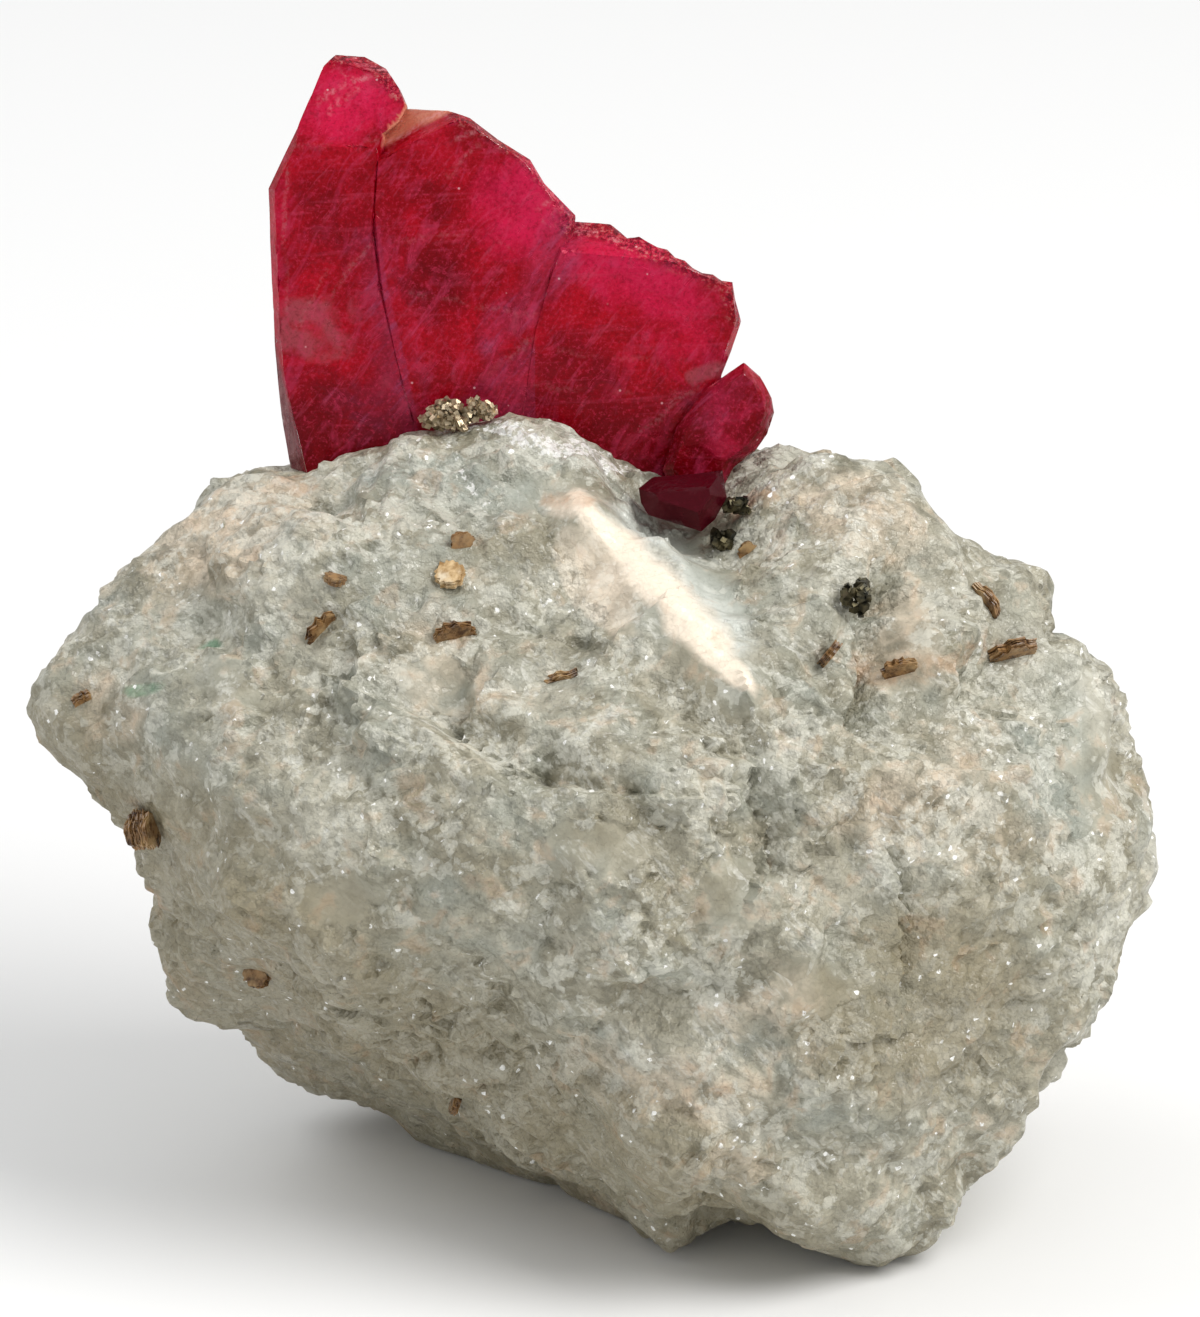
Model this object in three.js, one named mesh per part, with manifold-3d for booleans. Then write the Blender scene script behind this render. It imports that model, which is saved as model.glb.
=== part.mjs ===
// A group of ruby crystals grown on a lump of coarse grey-white marble, with books of brown mica and grains
// of pyrite set in the marble. Units are millimetres.
//
// Shapes are drawn in a display frame: x runs right, y runs up and z comes towards a viewer who looks down
// on the specimen by LOOK_DOWN. The last group turns that frame upright, so that +Z is up and the specimen
// stands on its flat base at z = 0, with the middle of its bounding box over the origin.
import * as THREE from 'three';
import { mergeVertices } from 'three/addons/utils/BufferGeometryUtils.js';
import Module from 'manifold-3d';

const wasm = await Module();
wasm.setup();

const LOOK_DOWN = THREE.MathUtils.degToRad(22);
const GAP = 0.25; // between a crystal and the socket it sits in
const BASE_HEIGHT = -16.6; // of the flat base, measured from the middle of the marble along the upright

// The marble's outline as the viewer sees it, anticlockwise from the right, about the middle of the lump.
const MARBLE_OUTLINE = [
  [22.6, -1.3], [22.5, 0.3], [22, 1.8], [21.7, 4.3], [21.5, 6.1], [20, 7.8], [19, 8.4], [18.5, 9.6],
  [18, 10.6], [16, 11.2], [14.8, 11.9], [13.4, 13.2], [12.5, 14.2], [11.5, 15], [9.6, 15], [8.6, 15.3],
  [7.1, 15], [6.3, 15.5], [5.7, 15], [4, 14.7], [1.5, 15.3], [-0.2, 15.8], [-1.9, 16.8], [-3.5, 17.5],
  [-5.2, 17.8], [-7.3, 17.6], [-8.5, 16.9], [-11, 15.8], [-12.6, 15], [-14.6, 14.5], [-15.8, 14.5],
  [-17.2, 13.7], [-18.8, 12.1], [-20.4, 10.2], [-20.5, 8.6], [-21.5, 6.7], [-22.6, 5.9], [-23, 4.7],
  [-22.8, 3.5], [-22.1, 2.6], [-21.2, 2.1], [-20.5, 1], [-19, -0.6], [-19.2, -1.8], [-19.1, -3.2],
  [-18.4, -4], [-18.2, -5.2], [-18.2, -6.5], [-17.7, -7.4], [-15.5, -9.2], [-14, -10.4], [-11.2, -11.4],
  [-9.2, -12.5], [-6, -13.5], [-3, -14.7], [-0.5, -15.5], [0.8, -15.8], [1.9, -16.8], [2.7, -17],
  [3.5, -16.5], [4, -15.8], [5.2, -16], [6.6, -16.8], [9.3, -17.8], [10.2, -18], [11.5, -17.8],
  [13, -16.7], [14.6, -15.2], [15.5, -13.6], [17.4, -11.8], [18.3, -9.9], [20, -7], [21, -5.5], [22, -3.6],
];
const FRONT_DEPTH = 16;
const BACK_DEPTH = 17;
const HALF_SIZES = new THREE.Vector3(22, 17, 14); // of the lump: right, up and forward
const ROUNDNESS = 2.4; // exponent of the lump's section, 2 for an ellipse
const CRISPNESS = 22; // how sharply the broken faces meet
const OUTLINE_BAND = [0.02, 0.3]; // where broken faces fade out next to the outline, by forward lean

// Where the outline lies behind the middle plane: about which angle, over what half width, and how far
// back for each millimetre out from the middle. The foot goes back to where the lump rests on the ground
// on the left, and the top goes back behind the rubies.
const SET_BACK = [
  { angle: -122, halfWidth: 62, slope: 0.74 },
  { angle: 100, halfWidth: 56, slope: 0.36 },
];

// The broad broken faces: the way each looks out, and how far it lies from the middle of the lump.
const BROKEN_FACES = [
  { facing: [0.04, 0, 1], reach: 12.4 },
  { facing: [-0.3, 0.06, 0.95], reach: 12.9 },
  { facing: [0.38, -0.1, 0.92], reach: 13.8 },
  { facing: [0.03, -0.36, 0.93], reach: 12.7 },
  { facing: [-0.04, 0.6, 0.8], reach: 11.4 },
  { facing: [-0.5, 0.5, 0.7], reach: 15.4 },
  { facing: [0.42, 0.55, 0.72], reach: 14.4 },
  { facing: [0.8, 0.05, 0.6], reach: 19.3 },
  { facing: [0.5, -0.5, 0.7], reach: 16.4 },
  { facing: [-0.54, -0.8, 0.24], reach: 12.9 },
  { facing: [-0.85, -0.1, 0.5], reach: 18.4 },
  { facing: [0.05, 0.37, -0.93], reach: 15 },
  { facing: [-0.6, 0.2, -0.77], reach: 16.5 },
  { facing: [0.62, 0, -0.78], reach: 16.8 },
  { facing: [0, 0.75, -0.66], reach: 18 },
  { facing: [0.5, 0.6, -0.62], reach: 17.5 },
];

// Ridges and furrows on the side towards the viewer: each is a stretch with round ends.
const RELIEF_FADE = [-3, 2]; // forward places between which the relief comes in
const RELIEF = [
  { from: [9.2, 13.2], to: [10.6, 12.4], radius: 2.6, height: 1.5 }, // right shoulder
  { from: [4.2, 13.4], to: [5.6, 13], radius: 2, height: -2.4 }, // hollow of the small ruby
  { from: [11.6, 10.8], to: [10.4, 6.2], radius: 1, height: -1.3 }, // furrow
  { from: [13.4, 9.2], to: [13, 7.4], radius: 2.4, height: 1 }, // block beside the furrow
  { from: [-6.5, 15.6], to: [-2.5, 15.4], radius: 2.6, height: 1.1 }, // dome in front of the rubies
  { from: [-0.6, 12.4], to: [5.2, 6.6], radius: 1.5, height: 0.9 }, // pale cleavage ridge
  { from: [-1, 8.6], to: [3, 5.2], radius: 1.4, height: -0.6 },
  { from: [-21.4, 4.4], to: [-19, 5.6], radius: 2, height: 0.8 }, // left knob
  { from: [-17, 0.6], to: [-12, -2.4], radius: 1.4, height: -0.9 }, // hollow under the left knob
  { from: [-9, 6], to: [-3.4, 4], radius: 1.6, height: -0.8 }, // sunk cleavage plane
  { from: [6.4, 3.6], to: [6.8, -1], radius: 0.9, height: -1 }, // crack on the main face
  { from: [11.5, 1.2], to: [13.6, -0.6], radius: 2, height: 0.8 },
  { from: [2.7, -15.6], to: [3.4, -12.5], radius: 1.6, height: 0.8 }, // spur at the foot
  { from: [16.4, 6.6], to: [19, 5.2], radius: 1.6, height: -0.8 },
  { from: [-14.5, 9.6], to: [-9.5, 12.4], radius: 2.2, height: 0.7 },
  { from: [8.6, -9], to: [12.6, -12.4], radius: 2.2, height: 0.7 },
  { from: [-2, -9.4], to: [4, -6.6], radius: 1.6, height: -0.7 },
];

// Cleavage blocks: the surface breaks into tilted patches with a step between neighbours.
const BLOCK_COUNT = 260;
const BLOCK_TILT = 0.32;
const BLOCK_STEP = 0.38;
const BLOCK_SCATTER = 2.4;

// Slow waves that break up the broad faces: the way each runs, in radians for each millimetre, and its phase.
const WAVE_HEIGHT = 0.16;
const WAVES = [
  { run: [0.42, 0.31, 0], phase: 1.3 },
  { run: [0, 0.37, -0.45], phase: 0.4 },
  { run: [0.33, 0, 0.51], phase: 2.2 },
];
const MARBLE_DETAIL = 16; // subdivisions of each face of the icosahedron that carries the surface
const TAU = 2 * Math.PI;

// A repeatable number between -1 and 1 for each pair of whole numbers.
function swing(index, channel) {
  const value = Math.sin(index * 12.9898 + channel * 78.233) * 43758.5453;
  return 2 * (value - Math.floor(value)) - 1;
}

const outlinePolar = MARBLE_OUTLINE
  .map(([x, y]) => ({ angle: Math.atan2(y, x), radius: Math.hypot(x, y) }))
  .sort((a, b) => a.angle - b.angle);

function outlineRadius(angle) {
  const count = outlinePolar.length;
  let next = outlinePolar.findIndex((point) => point.angle > angle);
  if (next < 0) next = 0;
  const after = outlinePolar[next];
  const before = outlinePolar[(next + count - 1) % count];
  const span = (after.angle - before.angle + TAU) % TAU;
  const share = ((angle - before.angle + TAU) % TAU) / span;
  return THREE.MathUtils.lerp(before.radius, after.radius, share);
}

const brokenFaces = BROKEN_FACES.map(({ facing, reach }) => ({
  normal: new THREE.Vector3(...facing).normalize(),
  reach,
}));

// How far the outline lies back for each millimetre out from the middle, at an angle in radians.
function setBack(angle) {
  let slope = 0;
  for (const { angle: centre, halfWidth, slope: most } of SET_BACK) {
    const off = Math.abs(THREE.MathUtils.euclideanModulo(
      THREE.MathUtils.radToDeg(angle) - centre + 180, 360,
    ) - 180);
    if (off < halfWidth) slope += most * Math.cos((off / halfWidth) * (Math.PI / 2)) ** 2;
  }
  return slope;
}

// Distance from the middle to the lump's plain surface, without blocks or relief.
function bodyRadius(way) {
  const angle = Math.atan2(way.y, way.x);
  const flat = Math.hypot(way.x, way.y);
  const forward = way.z + setBack(angle) * flat;
  const depth = forward > 0 ? FRONT_DEPTH : BACK_DEPTH;
  const round = (flat / outlineRadius(angle)) ** ROUNDNESS + (Math.abs(forward) / depth) ** ROUNDNESS;
  const rim = THREE.MathUtils.smoothstep(Math.abs(forward), ...OUTLINE_BAND);
  let sum = round ** (CRISPNESS / ROUNDNESS);
  for (const { normal, reach } of brokenFaces) {
    sum += rim * (Math.max(0, normal.dot(way)) / reach) ** CRISPNESS;
  }
  return sum ** (-1 / CRISPNESS);
}

// Distance from x, y to the straight line between two points.
function stretchDistance(x, y, from, to) {
  const along = [to[0] - from[0], to[1] - from[1]];
  const length2 = along[0] ** 2 + along[1] ** 2;
  const share = ((x - from[0]) * along[0] + (y - from[1]) * along[1]) / length2;
  const t = THREE.MathUtils.clamp(share, 0, 1);
  return Math.hypot(x - from[0] - t * along[0], y - from[1] - t * along[1]);
}

function reliefAt(point) {
  const front = THREE.MathUtils.smoothstep(point.z, ...RELIEF_FADE);
  let height = 0;
  for (const mark of RELIEF) {
    const away = stretchDistance(point.x, point.y, mark.from, mark.to) / mark.radius;
    height += mark.height * Math.exp(-away * away);
  }
  return height * front;
}

function waveHeight(point) {
  const wave = ({ run, phase }) => Math.sin(new THREE.Vector3(...run).dot(point) + phase);
  return WAVE_HEIGHT * WAVES.reduce((sum, each) => sum + wave(each), 0);
}

// Directions spread evenly over the lump by the golden angle.
function evenDirection(index, count) {
  const height = 1 - (2 * index + 1) / count;
  const ring = Math.sqrt(1 - height * height);
  const turn = index * Math.PI * (3 - Math.sqrt(5));
  return stretched(new THREE.Vector3(ring * Math.cos(turn), ring * Math.sin(turn), height));
}

// Leans a direction towards the lump's long axes, so that points lie evenly on its surface.
function stretched(way) {
  return way.multiply(HALF_SIZES).normalize();
}

const blocks = Array.from({ length: BLOCK_COUNT }, (_, index) => {
  const way = evenDirection(index, BLOCK_COUNT);
  const tilt = new THREE.Vector3(swing(index, 1), swing(index, 2), swing(index, 3));
  const shift = new THREE.Vector3(swing(index, 4), swing(index, 5), swing(index, 6));
  return {
    place: way.clone().multiplyScalar(bodyRadius(way)).addScaledVector(shift, BLOCK_SCATTER / 2),
    tilt: tilt.multiplyScalar(BLOCK_TILT),
    step: swing(index, 7) * BLOCK_STEP,
  };
});

function blockHeight(point) {
  let nearest = blocks[0];
  let least = Infinity;
  for (const block of blocks) {
    const gap = block.place.distanceToSquared(point);
    if (gap < least) {
      least = gap;
      nearest = block;
    }
  }
  return nearest.step + point.clone().sub(nearest.place).dot(nearest.tilt);
}

function surfacePoint(way) {
  const plain = way.clone().multiplyScalar(bodyRadius(way));
  const height = reliefAt(plain) + waveHeight(plain) + blockHeight(plain);
  return plain.addScaledVector(way, height);
}

// The surface seen at x, y from the front, or from behind for side -1: its place and outward normal.
function surfaceAt(x, y, side = 1) {
  const angle = Math.atan2(y, x);
  const target = Math.hypot(x, y);
  let low = 0;
  let high = Math.PI / 2;
  const way = new THREE.Vector3();
  for (let step = 0; step < 30; step += 1) {
    const lift = (low + high) / 2;
    const flat = Math.cos(lift);
    way.set(flat * Math.cos(angle), flat * Math.sin(angle), side * Math.sin(lift));
    if (surfacePoint(way).setZ(0).length() > target) low = lift;
    else high = lift;
  }
  const across = new THREE.Vector3(-way.y, way.x, 0).normalize();
  const along = way.clone().cross(across);
  const spread = 0.1;
  const beside = (offset, amount) => (
    surfacePoint(way.clone().addScaledVector(offset, amount).normalize())
  );
  const sideways = beside(across, spread).sub(beside(across, -spread));
  const upwards = beside(along, spread).sub(beside(along, -spread));
  const normal = sideways.cross(upwards).normalize();
  return { place: surfacePoint(way), normal: normal.dot(way) < 0 ? normal.negate() : normal };
}

function toSolid(geometry) {
  const bare = geometry.index ? geometry.toNonIndexed() : geometry.clone();
  bare.deleteAttribute('normal');
  bare.deleteAttribute('uv');
  const merged = mergeVertices(bare, 1e-4);
  return new wasm.Manifold(new wasm.Mesh({
    numProp: 3,
    vertProperties: new Float32Array(merged.getAttribute('position').array),
    triVerts: new Uint32Array(merged.index.array),
  }));
}

function toGeometry(solid) {
  const { vertProperties, triVerts } = solid.getMesh();
  const geometry = new THREE.BufferGeometry();
  geometry.setAttribute('position', new THREE.BufferAttribute(vertProperties, 3));
  geometry.setIndex(new THREE.BufferAttribute(triVerts, 1));
  geometry.computeVertexNormals();
  return geometry;
}

// Everything on the far side of a plane, as a big slab to take away.
function beyond(normal, reach) {
  const size = 120;
  const slab = new THREE.BoxGeometry(size, size, size);
  const away = new THREE.Vector3(...normal).normalize();
  slab.translate(0, 0, size / 2 + reach);
  slab.applyQuaternion(new THREE.Quaternion().setFromUnitVectors(new THREE.Vector3(0, 0, 1), away));
  return toSolid(slab);
}

function marbleSolid() {
  const ball = new THREE.IcosahedronGeometry(1, MARBLE_DETAIL);
  const place = ball.getAttribute('position');
  for (let i = 0; i < place.count; i += 1) {
    const point = surfacePoint(stretched(new THREE.Vector3().fromBufferAttribute(place, i)));
    place.setXYZ(i, point.x, point.y, point.z);
  }
  const floorNormal = [0, -Math.cos(LOOK_DOWN), -Math.sin(LOOK_DOWN)];
  return toSolid(ball).subtract(beyond(floorNormal, -BASE_HEIGHT));
}

function middleOf(outline) {
  return [0, 1].map((axis) => outline.reduce((sum, point) => sum + point[axis], 0) / outline.length);
}

// A flat crystal: a closed solid through rings of points. Each ring is the outline moved in by its inset,
// on the plane z = at + lean[0] * (x - middle x) + lean[1] * (y - middle y). Rings run from front to back.
// Points flagged as ragged stray in or out by up to the ring's ragged height. grow makes the crystal
// thicker all over.
function tablet({ outline, isRagged = () => false, rings }, grow = 0) {
  const count = outline.length;
  const middle = middleOf(outline);
  const outward = outline.map((point, i) => {
    const before = outline[(i + count - 1) % count];
    const after = outline[(i + 1) % count];
    const a = new THREE.Vector2(point[1] - before[1], before[0] - point[0]).normalize();
    const b = new THREE.Vector2(after[1] - point[1], point[0] - after[0]).normalize();
    const sum = a.clone().add(b);
    return sum.multiplyScalar(2 / Math.max(1.6, sum.lengthSq()));
  });
  const last = rings.length - 1;
  const places = [];
  const cap = [];
  rings.forEach(({ inset, at, lean, ragged = 0 }, layer) => {
    const swell = layer === 0 ? grow : layer === last ? -grow : 0;
    outline.forEach(([x, y], i) => {
      const out = grow - inset + (isRagged(i) ? ragged * swing(i, 8) : 0);
      const px = x + outward[i].x * out;
      const py = y + outward[i].y * out;
      places.push(px, py, at + swell + lean[0] * (px - middle[0]) + lean[1] * (py - middle[1]));
      if (layer === 0) cap.push(new THREE.Vector2(px, py));
    });
  });
  const faces = [];
  for (const [a, b, c] of THREE.ShapeUtils.triangulateShape(cap, [])) {
    faces.push(a, b, c, last * count + a, last * count + c, last * count + b);
  }
  for (let layer = 0; layer < last; layer += 1) {
    for (let i = 0; i < count; i += 1) {
      const j = (i + 1) % count;
      const front = layer * count;
      const back = front + count;
      faces.push(front + i, back + i, back + j, front + i, back + j, front + j);
    }
  }
  const geometry = new THREE.BufferGeometry();
  geometry.setAttribute('position', new THREE.Float32BufferAttribute(places, 3));
  geometry.setIndex(faces);
  return toSolid(geometry);
}

// Points along the straight run between two outline points.
function rowOf(from, to, count) {
  return Array.from({ length: count }, (_, i) => [
    THREE.MathUtils.lerp(from[0], to[0], (i + 1) / (count + 1)),
    THREE.MathUtils.lerp(from[1], to[1], (i + 1) / (count + 1)),
  ]);
}

// The blades of the big ruby group, from left to right. Their outlines run anticlockwise
// as the viewer sees them, and their lower ends are sunk in the marble.
const TALL_BLADE = {
  outline: [
    [-12.3, 12.1], [-7.3, 12.9], [-7.5, 16.2], [-8, 18.1], [-8.5, 20], [-9.1, 22.5], [-9.4, 24.8],
    [-9.3, 26.9], [-9.1, 28.9], [-8.5, 29.5], [-8.2, 30.1], [-8.5, 30.8], [-9.1, 31.7], [-10, 32.2],
    [-11.2, 32.3], [-11.7, 31.8], [-12.8, 29.2], [-14, 26.7], [-13.8, 20.4], [-13.5, 17.1], [-13.1, 14.7],
  ],
  rings: [
    { inset: 0.28, at: 1.5, lean: [0.1, 0.24] },
    { inset: 0, at: 0.95, lean: [0.08, 0.23] },
    { inset: 0, at: -3.2, lean: [0, 0.14] },
    { inset: 1.3, at: -4.8, lean: [-0.08, 0.1] },
  ],
};
const MIDDLE_BLADE = {
  outline: [
    [-7.8, 12.5], [-3.5, 12.9], [-3.3, 16.2], [-3, 18.3], [-2.6, 20.4], [-2, 22.5], [-1.3, 24.5],
    [-1.2, 25.6], [-1.8, 26.2], [-2.4, 27], [-3.1, 27.9], [-4.4, 28.8], [-5.6, 29.6], [-6.5, 30],
    [-8.6, 30.1], [-9.6, 28.6], [-9.8, 25.6], [-9.5, 22.5], [-9, 20], [-8.3, 17.1],
  ],
  isRagged: (i) => i >= 8 && i <= 13,
  rings: [
    { inset: 0.25, at: 1.25, lean: [-0.04, 0.22] },
    { inset: 0, at: 0.75, lean: [-0.03, 0.21], ragged: 0.12 },
    { inset: 0, at: -3.8, lean: [0, 0.12], ragged: 0.12 },
    { inset: 1.4, at: -5.6, lean: [0.04, 0.06] },
  ],
};
const BROAD_BLADE = {
  outline: [
    [-2.7, 12.4], [1.5, 12.4], [4, 13.6], [4.9, 15], [4.6, 16.2], [4.5, 17.9], [4.9, 19], [5.3, 20],
    [5.7, 21.2], [5.6, 22.1], [5.3, 22.8], ...rowOf([5.3, 22.8], [-0.2, 25.3], 13), [-0.2, 25.3],
    [-1.6, 25.4], [-2.5, 22.9], [-3.1, 20.8], [-3.5, 18.3], [-3.8, 15.6],
  ],
  isRagged: (i) => i >= 9 && i <= 23,
  rings: [
    { inset: 0.22, at: 0.9, lean: [0.03, 0.24] },
    { inset: 0, at: 0.45, lean: [0.03, 0.23], ragged: 0.17 },
    { inset: 0, at: -3.4, lean: [0, 0.14], ragged: 0.17 },
    { inset: 1.2, at: -4.8, lean: [-0.05, 0.1] },
  ],
};
const KNOB = {
  outline: [
    [3.1, 13.6], [4.9, 14.2], [5.4, 15.1], [6.3, 15.8], [6.8, 16.5], [7.1, 17.4], [7, 18], [6.5, 18.9],
    [5.8, 19.5], [5.2, 19.1], [4.2, 18.4], [3, 16.8], [2.4, 15],
  ],
  rings: [
    { inset: 0.4, at: 1.05, lean: [-0.06, 0.2] },
    { inset: 0, at: 0.45, lean: [-0.04, 0.18] },
    { inset: 0, at: -1.8, lean: [0, 0.12] },
    { inset: 0.8, at: -3, lean: [0, 0.1] },
  ],
};
// A shorter blade behind the middle one, out of the viewer's sight.
const REAR_BLADE = {
  outline: [
    [-8.8, 11.6], [-3.6, 11.4], [-1.6, 16.6], [-2.4, 21.4], [-4.6, 24.2], [-8, 24.6], [-10.2, 21.6],
    [-10.4, 16.4],
  ],
  rings: [
    { inset: 0.6, at: -2.6, lean: [0.04, 0.1] },
    { inset: 0, at: -4.2, lean: [0, 0.1] },
    { inset: 0, at: -5.8, lean: [0, 0.08] },
    { inset: 1.5, at: -7.2, lean: [0.03, 0.02] },
  ],
};
const RUBY_BLADES = [TALL_BLADE, MIDDLE_BLADE, BROAD_BLADE, KNOB, REAR_BLADE];
// Faces that bevel the blades' fronts: which blade, the way the face looks, and where it starts.
const BEVEL_FACES = [
  { blade: TALL_BLADE, facing: [-0.08, 0.3, 0.95], start: [-11, 28.4] },
  { blade: TALL_BLADE, facing: [0.15, 0.8, 0.58], start: [-10.4, 30.6] },
  { blade: TALL_BLADE, facing: [-0.85, -0.3, 0.5], start: [-13.7, 20.4] },
  { blade: MIDDLE_BLADE, facing: [-0.42, 0.72, 0.55], start: [-7.7, 28.7] },
  { blade: BROAD_BLADE, facing: [0.05, 0.62, 0.78], start: [1.4, 23.8] },
];
const SMALL_RUBY = {
  outline: [
    [1.8, 13.1], [3.1, 12.7], [4, 12.4], [4.6, 12.9], [5.1, 13.8], [4.9, 15], [3.5, 14.8], [2, 14.7],
    [1.4, 14.2], [1.5, 13.6],
  ],
  rings: [
    { inset: 0.7, at: 4.5, lean: [0.1, -0.25] },
    { inset: 0, at: 3.7, lean: [0.05, -0.3] },
    { inset: 0, at: 2.6, lean: [0, -0.3] },
    { inset: 0.5, at: 1.9, lean: [0, -0.3] },
  ],
};

function joined(solids) {
  return solids.reduce((whole, solid) => whole.add(solid));
}

// The place on a blade's front at x, y.
function onFront({ outline, rings: [front] }, [x, y]) {
  const [middleX, middleY] = middleOf(outline);
  const z = front.at + front.lean[0] * (x - middleX) + front.lean[1] * (y - middleY);
  return new THREE.Vector3(x, y, z);
}

function rubyGroup(grow = 0) {
  return joined(RUBY_BLADES.map((blade) => {
    const faces = BEVEL_FACES.filter((face) => face.blade === blade);
    return faces.reduce((left, { facing, start }) => {
      const reach = new THREE.Vector3(...facing).normalize().dot(onFront(blade, start));
      return left.subtract(beyond(facing, reach + grow));
    }, tablet(blade, grow));
  }));
}

// Books of mica: where each shows, its radius and thickness, how far its flat side tips away from the
// marble's surface, which way its edge then runs, how much of it stands out, and the side of the lump.
const MICA_BOOKS = [
  { name: 'mica_book_left', at: [-18.9, 0.2], radius: 1, thick: 1, tip: 60, turn: 200, out: 0.3 },
  { name: 'mica_disc', at: [-6.4, 10.6], radius: 0.75, thick: 0.5, tip: 12, turn: 240, out: 0 },
  { name: 'mica_blade_upper_left', at: [-11.7, 8.4], radius: 1.1, thick: 0.3, tip: 80, turn: 20, out: -0.45 },
  { name: 'mica_blade_centre', at: [-6.2, 8.2], radius: 1.15, thick: 0.32, tip: 80, turn: 20, out: -0.45 },
  { name: 'mica_blade_middle', at: [-1.8, 6.3], radius: 1.2, thick: 0.36, tip: 78, turn: 172, out: -0.4 },
  { name: 'mica_scale_top', at: [-5.9, 12.1], radius: 0.6, thick: 0.35, tip: 60, turn: 15, out: -0.2 },
  { name: 'mica_scale_left', at: [-11.1, 10.5], radius: 0.6, thick: 0.35, tip: 50, turn: 150, out: -0.15 },
  { name: 'mica_tablet_right', at: [9.4, 7.4], radius: 0.75, thick: 0.35, tip: 72, turn: 80, out: -0.25 },
  { name: 'mica_books_shoulder', at: [15.8, 9.7], radius: 1.15, thick: 0.42, tip: 74, turn: 158, out: -0.35 },
  { name: 'mica_leaf_stack', at: [17.1, 7.4], radius: 1.4, thick: 0.42, tip: 76, turn: 38, out: -0.45 },
  { name: 'mica_scale_right', at: [12.2, 6.8], radius: 1, thick: 0.32, tip: 75, turn: 12, out: -0.35 },
  { name: 'mica_by_small_ruby', at: [5.9, 11.6], radius: 0.55, thick: 0.35, tip: 66, turn: 10, out: -0.15 },
  { name: 'mica_left_edge', at: [-22.1, 5.4], radius: 0.7, thick: 0.45, tip: 82, turn: 0, out: 0 },
  { name: 'mica_lower_left_edge', at: [-17.2, -7.2], radius: 0.7, thick: 0.5, tip: 60, turn: 130, out: 0 },
  { name: 'mica_foot', at: [-6.9, -12.6], radius: 0.65, thick: 0.3, tip: 75, turn: 150, out: -0.2 },
  { name: 'mica_back_upper', at: [-9, 6], radius: 1, thick: 0.6, tip: 30, turn: 20, out: 0, side: -1 },
  { name: 'mica_back_middle', at: [6, -3], radius: 0.9, thick: 0.5, tip: 70, turn: 150, out: 0, side: -1 },
  { name: 'mica_back_right', at: [14, 5], radius: 0.8, thick: 0.45, tip: 72, turn: 60, out: 0, side: -1 },
  { name: 'mica_back_lower', at: [-3, -8], radius: 0.9, thick: 0.5, tip: 70, turn: 300, out: 0, side: -1 },
];

// Grains of pyrite: dark single cubes, and a brassy cluster grown against the foot of the rubies.
const PYRITE_GRAINS = [
  { name: 'pyrite_grain_furrow', at: [10.2, 9.7], size: 1.1, turn: [0.5, 0.3, 0.8], out: 0.25 },
  { name: 'pyrite_grain_upper', at: [5.6, 13.2], size: 0.8, turn: [0.2, 0.9, 0.4], out: 0.3 },
  { name: 'pyrite_grain_lower', at: [5, 11.9], size: 0.8, turn: [0.9, 0.1, 0.3], out: 0.2 },
];
const BRASSY_CLUSTER = {
  name: 'pyrite_cluster',
  at: [-5.9, 16.8],
  cubes: [
    { offset: [0, -0.1, -0.15], size: 0.95, turn: [0.4, 0.2, 0.1] },
    { offset: [0.7, 0, -0.1], size: 0.8, turn: [0.1, 0.7, 0.5] },
    { offset: [-0.7, -0.2, -0.1], size: 0.8, turn: [0.9, 0.4, 0.2] },
    { offset: [0.3, -0.5, 0.15], size: 0.65, turn: [0.3, 0.3, 0.9] },
    { offset: [-0.4, -0.5, 0.1], size: 0.65, turn: [0.6, 0.8, 0.1] },
    { offset: [1.3, -0.05, -0.1], size: 0.6, turn: [0.2, 0.5, 0.7] },
    { offset: [-1.25, -0.35, 0], size: 0.55, turn: [0.7, 0.1, 0.4] },
  ],
};

function micaBook({ at, radius, thick, tip, turn, out, side = 1 }, grow = 0) {
  const { place, normal } = surfaceAt(at[0], at[1], side);
  const book = new THREE.CylinderGeometry(radius + grow, radius + grow, thick + 2 * grow, 6);
  const tipped = new THREE.Quaternion().setFromEuler(new THREE.Euler(
    THREE.MathUtils.degToRad(tip), 0, 0,
  ));
  const turned = new THREE.Quaternion().setFromAxisAngle(
    new THREE.Vector3(0, 1, 0), THREE.MathUtils.degToRad(turn),
  );
  const upright = new THREE.Quaternion().setFromUnitVectors(new THREE.Vector3(0, 1, 0), normal);
  book.applyQuaternion(upright.multiply(turned).multiply(tipped));
  place.addScaledVector(normal, out);
  book.translate(place.x, place.y, place.z);
  return toSolid(book);
}

function cube(place, size, turn, grow = 0) {
  const grain = new THREE.BoxGeometry(size + 2 * grow, size + 2 * grow, size + 2 * grow);
  grain.applyQuaternion(new THREE.Quaternion().setFromEuler(new THREE.Euler(...turn)));
  grain.translate(place.x, place.y, place.z);
  return toSolid(grain);
}

function pyriteGrain({ at, size, turn, out }, grow = 0) {
  const { place, normal } = surfaceAt(at[0], at[1]);
  return cube(place.addScaledVector(normal, out), size, turn, grow);
}

function brassyCluster(grow = 0) {
  const { place } = surfaceAt(...BRASSY_CLUSTER.at);
  return joined(BRASSY_CLUSTER.cubes.map(({ offset, size, turn }) => (
    cube(place.clone().add(new THREE.Vector3(...offset)), size, turn, grow)
  )));
}

function finish(colour, roughness, metalness = 0) {
  return new THREE.MeshStandardMaterial({ color: colour, roughness, metalness });
}

const MARBLE_FINISH = finish(0xa9a594, 0.6);
const RUBY_FINISH = finish(0xa30f2a, 0.2);
const MICA_FINISH = finish(0x7a4c24, 0.35);
const PYRITE_FINISH = finish(0x6f6447, 0.35, 0.8);

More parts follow.
